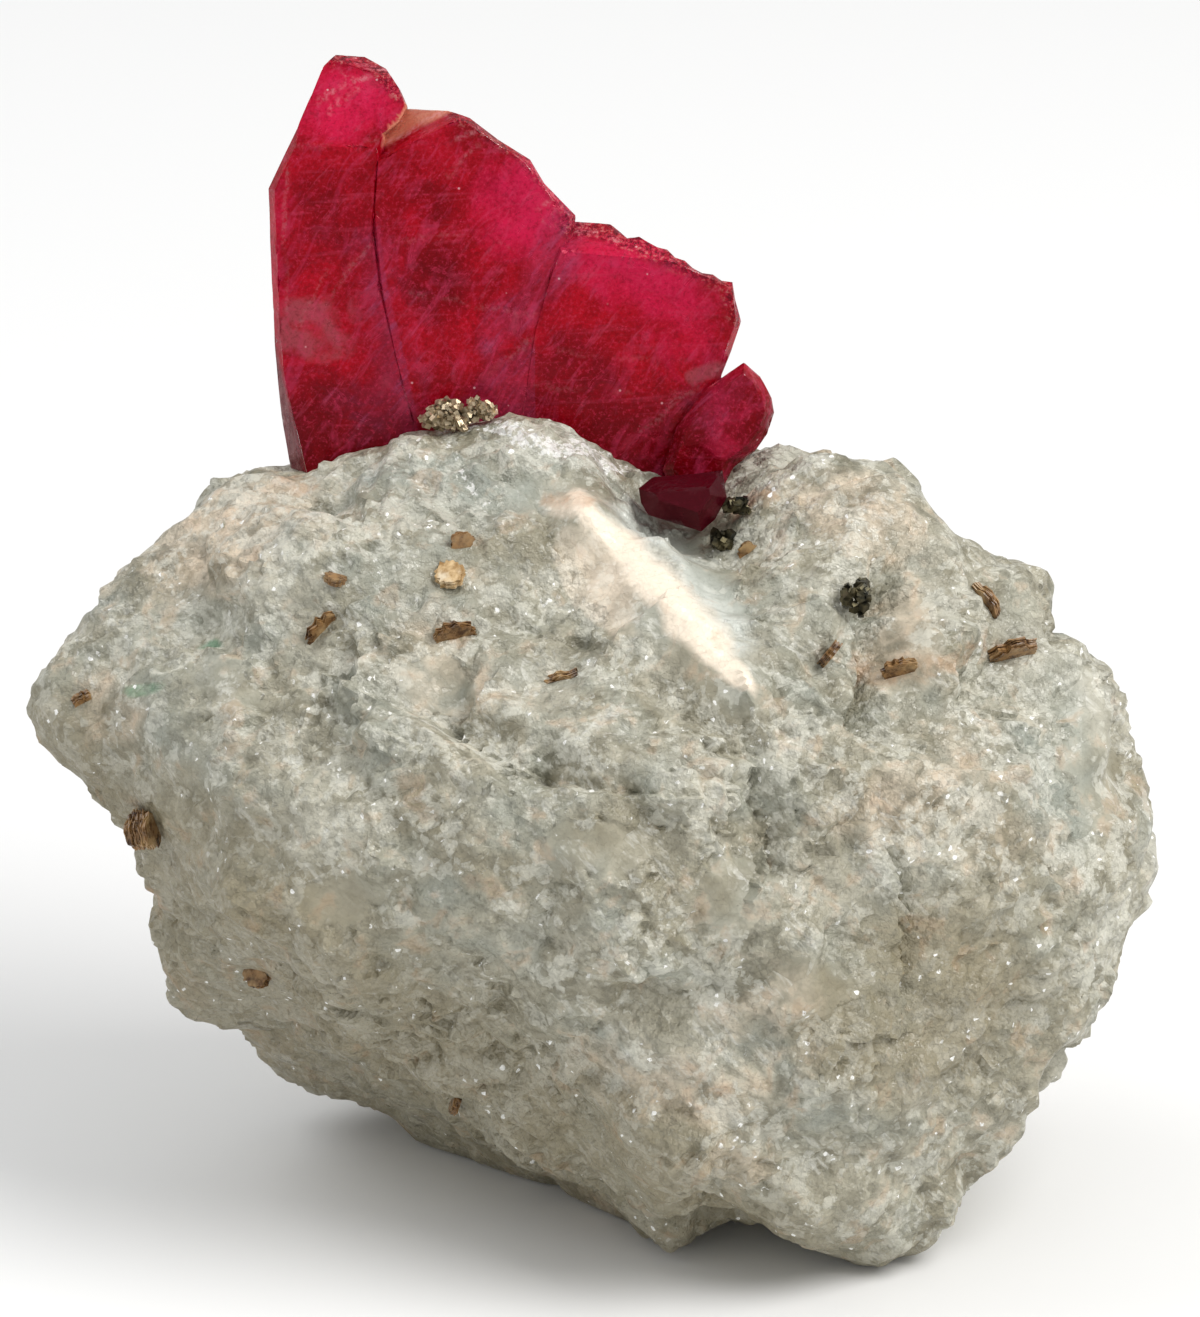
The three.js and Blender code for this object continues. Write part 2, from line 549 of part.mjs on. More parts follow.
const group = new THREE.Group();
const display = new THREE.Group();
display.rotation.x = Math.PI / 2 - LOOK_DOWN;
group.add(display);

function addPiece(name, solid, material) {
  const mesh = new THREE.Mesh(toGeometry(solid), material);
  mesh.name = name;
  display.add(mesh);
}

const rubies = rubyGroup();
const rubySocket = rubyGroup(GAP);
const smallRuby = tablet(SMALL_RUBY).subtract(rubySocket);
addPiece('ruby_group', rubies, RUBY_FINISH);
addPiece('small_ruby', smallRuby, RUBY_FINISH);

let marble = marbleSolid().subtract(rubySocket).subtract(tablet(SMALL_RUBY, GAP));
for (const book of MICA_BOOKS) {
  marble = marble.subtract(micaBook(book, GAP));
  addPiece(book.name, micaBook(book).subtract(rubySocket), MICA_FINISH);
}
for (const grain of PYRITE_GRAINS) {
  marble = marble.subtract(pyriteGrain(grain, GAP));
  addPiece(grain.name, pyriteGrain(grain).subtract(rubySocket), PYRITE_FINISH);
}
marble = marble.subtract(brassyCluster(GAP));
addPiece(BRASSY_CLUSTER.name, brassyCluster().subtract(rubySocket), PYRITE_FINISH);
addPiece('marble_matrix', marble, MARBLE_FINISH);

// Stand the specimen over the origin.
group.updateMatrixWorld(true);
const bounds = new THREE.Box3().setFromObject(group, true);
const middle = bounds.getCenter(new THREE.Vector3());
group.position.set(-middle.x, -middle.y, -bounds.min.z);

export default group;
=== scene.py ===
import itertools
import math

import bmesh
import bpy
import numpy as np
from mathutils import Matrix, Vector
from mathutils.bvhtree import BVHTree
from mathutils.kdtree import KDTree


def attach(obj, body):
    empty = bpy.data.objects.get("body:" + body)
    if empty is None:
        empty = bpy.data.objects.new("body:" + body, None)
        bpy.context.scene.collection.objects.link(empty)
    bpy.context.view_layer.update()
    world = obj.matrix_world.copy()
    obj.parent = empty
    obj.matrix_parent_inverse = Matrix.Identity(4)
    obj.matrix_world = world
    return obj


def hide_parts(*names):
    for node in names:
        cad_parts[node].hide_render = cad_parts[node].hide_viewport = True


# Places on the specimen are written in a display frame, in millimetres: x right, y up and z towards a viewer
# who looks down by LOOK_DOWN. MARBLE_MIDDLE is that frame's origin in the row frame.
MM = 0.001
LOOK_DOWN = math.radians(22)
MARBLE_MIDDLE = np.array([0.45, -1.36, 16.6])
HALF_SIZES = np.array([22, 17, 14])  # of the marble lump: right, up and towards the viewer
SOCKET_GAP = 0.25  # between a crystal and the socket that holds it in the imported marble


def to_row(points):
    """Row-frame millimetres from display-frame millimetres."""
    x, y, z = np.asarray(points, float).T
    sine, cosine = math.sin(LOOK_DOWN), math.cos(LOOK_DOWN)
    return np.stack([x, y * sine - z * cosine, y * cosine + z * sine], axis=1) + MARBLE_MIDDLE


def to_display(points):
    """Display-frame millimetres from row-frame millimetres."""
    x, y, z = (np.asarray(points, float) - MARBLE_MIDDLE).T
    sine, cosine = math.sin(LOOK_DOWN), math.cos(LOOK_DOWN)
    return np.stack([x, y * sine + z * cosine, -y * cosine + z * sine], axis=1)


def hashed(cells, seed):
    """A repeatable number from -1 to 1 for each row of whole numbers."""
    mixed = cells.astype(np.int64) @ np.array([73856093, 19349663, 83492791]) + seed * 15731
    mixed = ((mixed & 0x7FFFFFFF) ^ ((mixed & 0x7FFFFFFF) >> 13)) * 1274126177
    mixed = (mixed & 0x7FFFFFFF) ^ ((mixed & 0x7FFFFFFF) >> 15)
    return (mixed & 0xFFFFF) / 0x7FFFF - 1


def noise(points, size, seed):
    """Smooth random heights from -1 to 1, with lumps about as wide as size."""
    places = points / size
    corner = np.floor(places).astype(np.int64)
    part = places - corner
    part = part * part * (3 - 2 * part)
    total = np.zeros(len(points))
    for step in itertools.product((0, 1), repeat=3):
        weight = np.prod(np.where(step, part, 1 - part), axis=1)
        total += weight * hashed(corner + step, seed)
    return total


def stray(points, size, seed):
    """Smooth random steps with each part from -1 to 1."""
    return np.stack([noise(points, size, seed + k) for k in range(3)], axis=1)


def layered_noise(points, size, seed):
    """Noise with finer and finer lumps added, each half as wide and half as high."""
    return sum(noise(points, size / 2**k, seed + k) / 2**k for k in range(3)) / 1.5


def smoothstep(low, high, values):
    share = np.clip((values - low) / (high - low), 0, 1)
    return share * share * (3 - 2 * share)


def route_distance(points, route):
    """Distance from a line through display-frame x, y places: above 0 on its left, below 0 on its right."""
    nearest = np.full(len(points), np.inf)
    for start, end in zip(route, route[1:]):
        start, along = np.array(start, float), np.subtract(end, start)
        offset = points[:, :2] - start
        share = np.clip(offset @ along / (along @ along), 0, 1)
        away = np.linalg.norm(offset - share[:, None] * along, axis=1)
        left = along[0] * offset[:, 1] - along[1] * offset[:, 0] > 0
        nearest = np.where(away < np.abs(nearest), np.where(left, away, -away), nearest)
    return nearest


def stroke(points, route, width):
    """1 on a line through display-frame x, y places and 0 beyond width from it."""
    return 1 - smoothstep(0.35 * width, width, np.abs(route_distance(points, route)))


def patch(points, centre, sizes, turn=0):
    """1 in the middle of an oval in display-frame x, y and 0 outside it."""
    angle = math.radians(turn)
    offset = points[:, :2] - centre
    across = (offset @ (math.cos(angle), math.sin(angle))) / sizes[0]
    up = (offset @ (-math.sin(angle), math.cos(angle))) / sizes[1]
    return 1 - smoothstep(0.3, 1, np.hypot(across, up))


def strongest(points, spots):
    """The highest of several ovals, each a strength, its middle, its half sizes and its turn in degrees."""
    zone = np.zeros(len(points))
    for strength, centre, sizes, turn in spots:
        zone = np.maximum(zone, strength * patch(points, centre, sizes, turn))
    return zone


# Meshes


def new_piece(name, points, faces, smooth_angle=None):
    """A mesh object from row-frame millimetres."""
    mesh = bpy.data.meshes.new(name)
    mesh.from_pydata((np.asarray(points) * MM).tolist(), [], [tuple(face) for face in faces])
    mesh.update()
    if smooth_angle is not None:
        mesh.polygons.foreach_set("use_smooth", [True] * len(mesh.polygons))
        mesh.set_sharp_from_angle(angle=math.radians(smooth_angle))
    piece = bpy.data.objects.new(name, mesh)
    bpy.context.scene.collection.objects.link(piece)
    return piece


def set_mask(piece, name, values):
    """Keeps a number for each vertex, which the material reads by its name."""
    layer = piece.data.attributes.new(name, "FLOAT", "POINT")
    layer.data.foreach_set("value", np.asarray(values, np.float32))


def node_points(node):
    """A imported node's vertices in row-frame millimetres."""
    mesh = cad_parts[node].data
    flat = np.zeros(len(mesh.vertices) * 3, np.float32)
    mesh.vertices.foreach_get("co", flat)
    return flat.reshape(-1, 3).astype(float) / MM


def node_faces(node):
    return [tuple(face.vertices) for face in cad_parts[node].data.polygons]


def surface_tree(nodes):
    """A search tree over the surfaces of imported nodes, in display-frame millimetres."""
    points, faces = [], []
    for node in nodes:
        first = len(points)
        points += to_display(node_points(node)).tolist()
        faces += [tuple(first + corner for corner in face) for face in node_faces(node)]
    return BVHTree.FromPolygons(points, faces)


def point_tree(points):
    """A search tree that gives the number of the nearest point."""
    tree = KDTree(len(points))
    for number, point in enumerate(points):
        tree.insert(point, number)
    tree.balance()
    return tree


def geodesic_sphere(frequency):
    """Evenly spread directions and the triangles between them: an icosahedron with its faces divided."""
    base = bmesh.new()
    bmesh.ops.create_icosphere(base, subdivisions=1, radius=1)
    corners = [np.array(vertex.co) for vertex in base.verts]
    triangles = [[vertex.index for vertex in face.verts] for face in base.faces]
    base.free()
    numbers, points, faces = {}, [], []
    for triangle in triangles:
        grid = {}
        for i in range(frequency + 1):
            for j in range(frequency + 1 - i):
                shares = zip(triangle, (frequency - i - j, i, j))
                key = tuple(sorted((corner, share) for corner, share in shares if share))
                if key not in numbers:
                    numbers[key] = len(points)
                    points.append(sum(corners[corner] * share for corner, share in key))
                grid[i, j] = numbers[key]
        for i, j in grid:
            if i + j < frequency:
                faces.append((grid[i, j], grid[i + 1, j], grid[i, j + 1]))
            if i + j < frequency - 1:
                faces.append((grid[i + 1, j], grid[i + 1, j + 1], grid[i, j + 1]))
    ways = np.array(points)
    return ways / np.linalg.norm(ways, axis=1)[:, None], np.array(faces)


def vertex_normals(points, faces):
    a, b, c = (points[faces[:, k]] for k in range(3))
    across = np.cross(b - a, c - a)
    total = np.zeros_like(points)
    for k in range(3):
        np.add.at(total, faces[:, k], across)
    return total / np.maximum(np.linalg.norm(total, axis=1), 1e-9)[:, None]


def neighbour_mean(faces, count):
    """A function that averages a value over each vertex's neighbours."""
    pairs = np.concatenate([faces[:, [0, 1]], faces[:, [1, 2]], faces[:, [2, 0]]])
    degree = np.bincount(pairs[:, 0], minlength=count) + np.bincount(pairs[:, 1], minlength=count)

    def mean(values):
        total = np.bincount(pairs[:, 0], values[pairs[:, 1]], count)
        total += np.bincount(pairs[:, 1], values[pairs[:, 0]], count)
        return total / degree

    return mean


# Marble lump
MARBLE_FREQUENCY = 98  # divisions of each icosahedron edge, which gives 192,080 triangles
OUTSIDE = 60.0  # farther from the middle than any of the marble
SOCKET_MARGIN = 0.2  # how far past a socket's wall the surface counts as socket
FILL_NEIGHBOURS = 6  # nearest plain places, whose mean fills a socket before it is smoothed
FILL_ROUNDS = 260  # of averaging in the sockets
SMOOTH_ROUNDS = 4  # of averaging everywhere
GRAIN_COUNT = 900
GRAIN_WOBBLE = 0.4  # how far the borders between grains stray
CLEAVAGE_SPACINGS = ((0.14, 0.3), (0.5, 1.1), (0.6, 1.3))  # least and most, the thin way of the blocks first
BROAD_GRAINS = 0.22  # share of the grains that break in broad plain faces
BROAD_FACTOR = 2.2
GRAIN_LEAN = 0.5  # how far the thin way of the blocks strays from the way out of the lump
CLEAVAGE_REACH = 0.6  # how far the broken surface may leave the plain one
CLEAVAGE_STEP = 0.04
BREAK_SPREAD = 0.2  # how far off the plain surface a block's middle may be where the block breaks away
RHOMB = np.array([[1, 0.2, 0.2], [0, 0.98, 0.22], [0, 0, 0.95]])  # calcite's leaning cleavage block
PALE_RIDGE = [(-1.2, 13.4), (0.6, 11.4), (3, 8.6), (5.4, 6)]
RIDGE_WAY = (0.66, -0.75)
RIDGE_LENGTH = 9.9
RIDGE_HEIGHT = 0.4
RUST_LINE = [(10.6, 7), (13, 6.6), (15.5, 7.6)]
SUGAR_FOOT = [(-6.6, 17.2), (-4.8, 17.2), (-2.8, 16.1), (-0.3, 15.5), (1.8, 14.9)]
SUGAR_TAIL = [(-6.6, 16.4), (-6.2, 15.4), (-5.5, 14.2), (-4.9, 13.4)]
FOOT_TOP = 0.3  # the plain surface below this height is the flat cut underneath

# Steps in the broken surface: the line that each follows in display-frame x, y, how far its left side is
# raised and its right side lowered, times LEDGE_STRENGTH, and how far from the line the step fades out.
LEDGE_STRENGTH = 0.65
LEDGES = [
    ([(-5.3, 5.4), (-6.3, 4.2), (-9.8, 5.8)], 0.55, 1.6),
    ([(2.5, 1.5), (0.6, 1.6), (-1.8, 1.8), (-4.3, 2.6), (-5.9, 3.6)], 0.5, 1.5),
    ([(-14.7, 5.1), (-14.2, 7.3), (-17, 7.5)], 0.45, 1.6),
    ([(2.1, 9.4), (1.4, 9), (0.3, 7.8)], 0.4, 1.2),
    ([(5.6, 5.2), (6.3, 2.9), (6.8, -0.2), (6.2, -2)], 0.45, 1.3),
    ([(12.2, -6.4), (12.5, -3.2), (12, -1.4)], 0.45, 1.3),
    ([(9, -9.8), (9.8, -8.6), (11.6, -8.4)], 0.4, 1.2),
    ([(10.3, 4.4), (11.2, 6.6), (11, 9.6), (11.8, 11.2)], 0.5, 1.6),
    ([(16.8, 3), (14.6, 2.2), (12.2, 3)], 0.4, 1.4),
    ([(-9.5, 10.4), (-10.6, 12.6), (-12.6, 13.4)], 0.4, 1.4),
    ([(-2.2, 11.9), (-3.2, 13.8), (-4.8, 14.8)], 0.4, 1.3),
    ([(3, -12), (-1, -10.2), (-5.4, -8.6), (-11, -4.4)], 0.35, 1.4),
    ([(18.6, -3), (17.4, 0.4), (18.2, 3.4)], 0.4, 1.4),
]

# Furrows and cracks: the line that each follows, its depth and its half width.
FURROWS = [
    ([(10.5, 4.6), (11, 6.6), (10.8, 8.6), (11.5, 10.9)], 1.2, 0.5),
    ([(6.2, 3.6), (6.5, 2), (6.9, 0.4), (6.8, -1.2)], 0.8, 0.3),
    ([(-6.3, 4.2), (-5.7, 3.4), (-4.2, 2.6), (-2.4, 2)], 0.45, 0.3),
    ([(8.4, 6.4), (9.8, 5.4), (10.5, 4.6)], 0.35, 0.35),
    ([(13.4, 4.2), (15.4, 6), (17.4, 8)], 0.4, 0.35),
    ([(12, -1.6), (12.3, -3.6), (12.2, -6.4)], 0.4, 0.25),
    ([(-12.6, 9.6), (-10.8, 9.2), (-9.6, 10)], 0.35, 0.3),
]

# Plain cleavage faces: the middle of each, its half sizes and its turn in degrees.
CALM_FACES = [
    ((12.7, 7.6), (1.3, 2.8), 0),
    ((4.4, 10.2), (1.2, 3), 38),
    ((0.3, 9.4), (1.1, 2.4), 30),
    ((-15.6, 6), (1.6, 1.3), 0),
    ((20.2, 3.4), (1.2, 4.4), 5),
    ((-7, 6), (2.6, 1.3), -15),
    ((-2.2, 13.6), (2.4, 1.2), -10),
    ((-0.4, -0.6), (2.6, 1.6), 0),
    ((5.4, -2.4), (1.7, 2.4), 0),
    ((-11, -2.6), (2.4, 1.4), 10),
    ((8.6, -6.2), (2.2, 1.5), 0),
]

# Stained and tinted spots: the strength of each, its middle, its half sizes and its turn in degrees.
BEIGE_SPOTS = [
    (0.8, (-15.8, 12.4), (6, 3.4), 25),
    (0.9, (0.2, 10), (1.5, 2.8), 25),
    (0.7, (10, 13.4), (4.4, 2.8), -20),
    (0.6, (2.8, -10.6), (6.4, 2.2), -20),
    (0.7, (5.4, -13.8), (3, 1.2), -10),
    (0.6, (12, 1.2), (4.6, 2.4), 20),
    (0.6, (12.6, 8), (2.6, 3), 0),
    (0.5, (-20.4, 5), (3, 2.6), 0),
]
BLUE_SPOTS = [
    (0.8, (-4.6, 14.6), (5.6, 2.6), 10),
    (0.9, (4.4, 10.4), (1.6, 3.4), 35),
    (0.6, (18.6, 1), (3.4, 6), 0),
    (0.5, (-7, 10), (5, 4), 0),
]
RUST_SPOTS = [
    (0.9, (-18.8, -3.4), (0.9, 1.5), 0),
    (0.9, (-17.4, -7.4), (1.8, 0.8), -30),
    (0.5, (-1.6, 13.6), (1.5, 0.6), -10),
    (0.45, (-12.6, 14.4), (2, 0.8), 10),
    (0.5, (6, 13.6), (1.6, 1), 0),
    (0.3, (4, -10.6), (2.6, 1), -20),
]
GREEN_SPOTS = [(1, (-18.9, 5.9), (1.9, 0.6), 10), (1, (-16.5, 7.8), (0.8, 0.5), 0)]


def marble_base(ways, mean):
    """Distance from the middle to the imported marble, its sockets filled over, and where the sockets are."""
    marble = surface_tree(["marble_matrix"])
    crystals = surface_tree([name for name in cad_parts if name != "marble_matrix"])
    radius = np.empty(len(ways))
    socket = np.zeros(len(ways), bool)
    for i, way in enumerate(ways):
        out = Vector(way)
        hit = marble.ray_cast(out * OUTSIDE, -out)[0]
        radius[i] = hit.length
        socket[i] = crystals.find_nearest(hit, SOCKET_GAP + SOCKET_MARGIN)[0] is not None
    around = np.flatnonzero(~socket)
    tree = point_tree(ways[around])
    for i in np.flatnonzero(socket):
        radius[i] = np.mean([radius[around[k]] for _, k, _ in tree.find_n(ways[i], FILL_NEIGHBOURS)])
    for _ in range(FILL_ROUNDS):
        radius = np.where(socket, mean(radius), radius)
    return radius, socket


def grain_lattices(outward, rng):
    """For each calcite grain, the three edges of its cleavage block as the columns of a matrix."""
    lattices = []
    for out in outward:
        thin = out + GRAIN_LEAN * rng.normal(size=3)
        thin /= np.linalg.norm(thin)
        side = np.cross(thin, rng.normal(size=3))
        side /= np.linalg.norm(side)
        turn = np.stack([thin, side, np.cross(thin, side)], axis=1)
        broad = BROAD_FACTOR if rng.random() < BROAD_GRAINS else 1
        spacing = [broad * rng.uniform(low, high) for low, high in CLEAVAGE_SPACINGS]
        lattices.append(turn @ RHOMB @ np.diag(spacing))
    return np.array(lattices)


def cleave(points, ways, normals, lattice, grain):
    """How far each point moves out to the face of a cleavage block that is left, and that block's tone."""
    inverse = np.linalg.inv(lattice)
    start = np.einsum("nij,nj->ni", inverse, points)
    speed = np.einsum("nij,nj->ni", inverse, ways)
    height = np.zeros(len(points))
    block = np.zeros((len(points), 3), np.int64)
    found = np.zeros(len(points), bool)
    for out in np.arange(CLEAVAGE_REACH, -CLEAVAGE_REACH, -CLEAVAGE_STEP):
        index = np.floor(start + out * speed).astype(np.int64)
        middle = np.einsum("nij,nj->ni", lattice, index + 0.5)
        above = np.einsum("ni,ni->n", middle - points, normals)
        new = ~found & (above < BREAK_SPREAD * hashed(index, 5))
        wall = np.where(speed > 0, index + 1 - start, index - start) / speed
        height = np.where(new, np.clip(wall.min(axis=1), -CLEAVAGE_REACH, CLEAVAGE_REACH), height)
        block[new] = index[new]
        found |= new
    return height, hashed(block + grain[:, None], 11)


def ledge_height(places):
    """How far the ledges raise or lower the surface and the furrows lower it."""
    height = np.zeros(len(places))
    for route, step, reach in LEDGES:
        distance = route_distance(places, route) + 0.35 * noise(places, 0.8, 71)
        side = 2 * smoothstep(-0.1, 0.1, distance) - 1
        height += LEDGE_STRENGTH * step * side * np.exp(-((distance / reach) ** 2))
    for route, depth, width in FURROWS:
        distance = route_distance(places, route) + 0.25 * noise(places, 0.7, 74)
        height -= depth * np.exp(-((distance / width) ** 2))
    return height * smoothstep(-2, 2, places[:, 2])


def calm_zone(places):
    """1 on the plain cleavage faces and the pale ridge, and 0 where the marble is crumbly."""
    strayed = places + 0.5 * stray(places, 0.9, 75)
    calm = stroke(places, PALE_RIDGE, 1.9)
    for centre, sizes, turn in CALM_FACES:
        calm = np.maximum(calm, smoothstep(0.1, 0.35, patch(strayed, centre, sizes, turn)))
    return calm * smoothstep(-2, 2, places[:, 2])


def make_marble():
    """The marble as a fine mesh, broken along the cleavage blocks of its grains."""
    rng = np.random.default_rng(41)
    sphere, faces = geodesic_sphere(MARBLE_FREQUENCY)
    ways = sphere * HALF_SIZES
    ways /= np.linalg.norm(ways, axis=1)[:, None]
    mean = neighbour_mean(faces, len(ways))
    radius, socket = marble_base(ways, mean)
    for _ in range(SMOOTH_ROUNDS):
        radius = mean(radius)
    near_socket = socket.astype(float)
    for _ in range(3):
        near_socket = mean(near_socket)
    plain = ways * radius[:, None]
    normals = vertex_normals(plain, faces)

    chosen = rng.choice(len(plain), GRAIN_COUNT, replace=False)
    tree = point_tree(plain[chosen])
    wobble = GRAIN_WOBBLE * stray(plain, 0.9, 1)
    grain = np.array([tree.find(place)[1] for place in plain + wobble])
    lattices = grain_lattices(normals[chosen], rng)
    height, face_tone = cleave(plain, ways, normals, lattices[grain], grain)

    crumbly = smoothstep(-0.45, 0.45, layered_noise(plain, 4.5, 21))
    calm = calm_zone(plain)
    rough = (0.4 + 0.45 * crumbly) * (1 - 0.85 * calm) * (1 - 0.7 * near_socket)
    crest = np.clip(1 - np.abs(route_distance(plain, PALE_RIDGE)) / 1.5, 0, 1)
    crest *= smoothstep(-2, 2, plain[:, 2])
    fine = 0.05 * noise(plain, 0.45, 31) + 0.1 * noise(plain, 1.4, 32)
    broken = rough * (height - 0.05) + (1 - 0.8 * calm) * fine + RIDGE_HEIGHT * crest
    broken = 0.6 * broken + 0.4 * mean(broken)
    radius = radius + broken + ledge_height(plain) - 0.26 * near_socket
    points = to_row(ways * radius[:, None])
    plain_height = to_row(plain)[:, 2]
    foot, rest = np.maximum(plain_height, 0), np.maximum(points[:, 2], 0.02)
    points[:, 2] = np.where(plain_height < FOOT_TOP, foot, rest)

    marble = new_piece("marble", points, faces, smooth_angle=38)
    set_mask(marble, "grain_tone", rng.uniform(-1, 1, GRAIN_COUNT)[grain])
    set_mask(marble, "face_tone", face_tone)
    set_mask(marble, "crumbly", crumbly)
    set_mask(marble, "calm", calm)
    for name, values in marble_zones(plain).items():
        set_mask(marble, name, values)
    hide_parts("marble_matrix")
    return marble


def marble_zones(places):
    """How far each place of the marble has each of its tints, stains and painted shade, from 0 to 1."""
    front = smoothstep(-3, 2, places[:, 2])
    broad = layered_noise(places, 7, 51)
    along = np.clip((places[:, :2] - PALE_RIDGE[0]) @ RIDGE_WAY / RIDGE_LENGTH, 0, 1)
    half_width = 0.5 + 0.65 * np.sin(np.pi * along**1.2)
    beside = route_distance(places, PALE_RIDGE) + 0.25 * noise(places, 0.9, 73)
    cream = 1 - smoothstep(0.2, 1.3, np.where(beside > 0, beside * 0.75, -beside * 1.6) / half_width)
    cream = np.maximum(cream, 0.6 * patch(places, (-1.6, 13.3), (1.4, 0.6), -20))
    cream = np.maximum(cream, 0.42 * smoothstep(0, 0.25, patch(places, (-0.5, 10.4), (1.4, 3), 35)))
    ice = smoothstep(-0.2, 0.5, beside) * smoothstep(2.9, 1.4, beside) * smoothstep(0.02, 0.2, along)
    ice *= smoothstep(1.0, 0.85, along)
    sugar = np.maximum(stroke(places, SUGAR_FOOT, 0.7), 0.9 * stroke(places, SUGAR_TAIL, 0.35))
    beige = np.maximum(strongest(places, BEIGE_SPOTS), 0.35 * smoothstep(0.1, 0.5, broad))
    # Olive tint with painted shade: the lower left and lower right sides are darkened
    down_left = -(0.56 * places[:, 0] + 0.83 * places[:, 1])
    olive_and_low_shade = 0.9 * np.maximum(smoothstep(5.5, 11, down_left), patch(places, (13.5, -7), (8, 6.5), 20))
    rust = np.maximum(strongest(places, RUST_SPOTS), 0.35 * stroke(places, RUST_LINE, 0.8))
    return {
        "cream": cream * front,
        "ice": ice * front,
        "sugar": sugar * front,
        "beige": np.maximum(beige * front, 0.5 * (1 - front) * smoothstep(0.1, 0.6, broad)),
        "olive_and_low_shade": olive_and_low_shade,
        "blue": strongest(places, BLUE_SPOTS) * front,
        "rust": rust * front,
        "green": strongest(places, GREEN_SPOTS) * front,
    }


# Ruby crystals
RUBY_EDGE = 0.28  # longest edge of the refined mesh
SHARP_TURN = 0.88  # cosine of the angle between faces past which the edge between them is a crystal edge


def split_long_edges(points, faces, longest):
    """One pass that halves each edge longer than longest. points grows, and the new faces are returned."""
    halves = {}

    def half(a, b):
        key = (min(a, b), max(a, b))
        if key not in halves:
            long = np.linalg.norm(points[a] - points[b]) > longest
            halves[key] = len(points) if long else None
            if long:
                points.append((points[a] + points[b]) / 2)
        return halves[key]

    result = []
    for face in faces:
        middles = [half(face[k], face[(k + 1) % 3]) for k in range(3)]
        cut = sum(middle is not None for middle in middles)
        turn = next((k for k in range(3) if (middles[k] is None) == (cut == 2)), 0) if cut else 0
        a, b, c = (face[(turn + k) % 3] for k in range(3))
        ab, bc, ca = (middles[(turn + k) % 3] for k in range(3))
        if cut == 3:
            result += [(a, ab, ca), (ab, b, bc), (ca, bc, c), (ab, bc, ca)]
        elif cut == 2:
            result += [(ca, bc, c), (a, b, bc), (a, bc, ca)]
        elif cut == 1:
            result += [(a, ab, c), (ab, b, c)]
        else:
            result.append((a, b, c))
    return result


def refined(node, longest):
    """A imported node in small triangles: points, normals, faces, and which points are on a sharp edge."""
    mesh = bmesh.new()
    mesh.from_mesh(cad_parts[node].data)
    bmesh.ops.remove_doubles(mesh, verts=mesh.verts, dist=0.002 * MM)
    bmesh.ops.triangulate(mesh, faces=mesh.faces)
    points = [np.array(vertex.co) / MM for vertex in mesh.verts]
    faces = [tuple(vertex.index for vertex in face.verts) for face in mesh.faces]
    mesh.free()
    size = max(np.ptp(points, axis=0))
    for _ in range(math.ceil(math.log2(size / longest)) + 1):
        faces = split_long_edges(points, faces, longest)
    points, faces = np.array(points), np.array(faces)
    a, b, c = (points[faces[:, k]] for k in range(3))
    across = np.cross(b - a, c - a)
    across /= np.maximum(np.linalg.norm(across, axis=1), 1e-9)[:, None]
    sharp = np.zeros(len(points), bool)
    first_face = {}
    for number, face in enumerate(faces):
        for k in range(3):
            key = (min(face[k], face[k - 1]), max(face[k], face[k - 1]))
            other = first_face.setdefault(key, number)
            if other != number and across[other] @ across[number] < SHARP_TURN:
                sharp[list(key)] = True
    return points, vertex_normals(points, faces), faces, sharp


def make_ruby(name, node):
    """A packed ruby as a finer mesh, with slight waves and chipped edges."""
    points, normals, faces, sharp = refined(node, RUBY_EDGE)
    places = to_display(points)
    waves = 0.03 * noise(points, 3, 61) + 0.012 * noise(points, 0.9, 62)
    chips = 0.14 * np.clip(noise(points, 0.5, 63), 0, 1) * sharp
    points = points + normals * (waves - chips - 0.02)[:, None]
    ruby = new_piece(name, points, faces, smooth_angle=22)
    for mask, values in ruby_zones(places).items():
        set_mask(ruby, mask, values)
    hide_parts(node)
    return ruby


# The tall blade's edge at its top right, and the groove between it and the middle blade.
TALL_EDGE = [(-9.5, 26.9), (-9.2, 28.9), (-8.6, 29.5), (-8.3, 30.1), (-8.3, 31)]
TALL_TO_MIDDLE = [(-8.5, 29.6), (-9.3, 27), (-9.3, 24.6), (-9, 22.5), (-8.4, 20), (-7.9, 17.6), (-7.6, 15)]

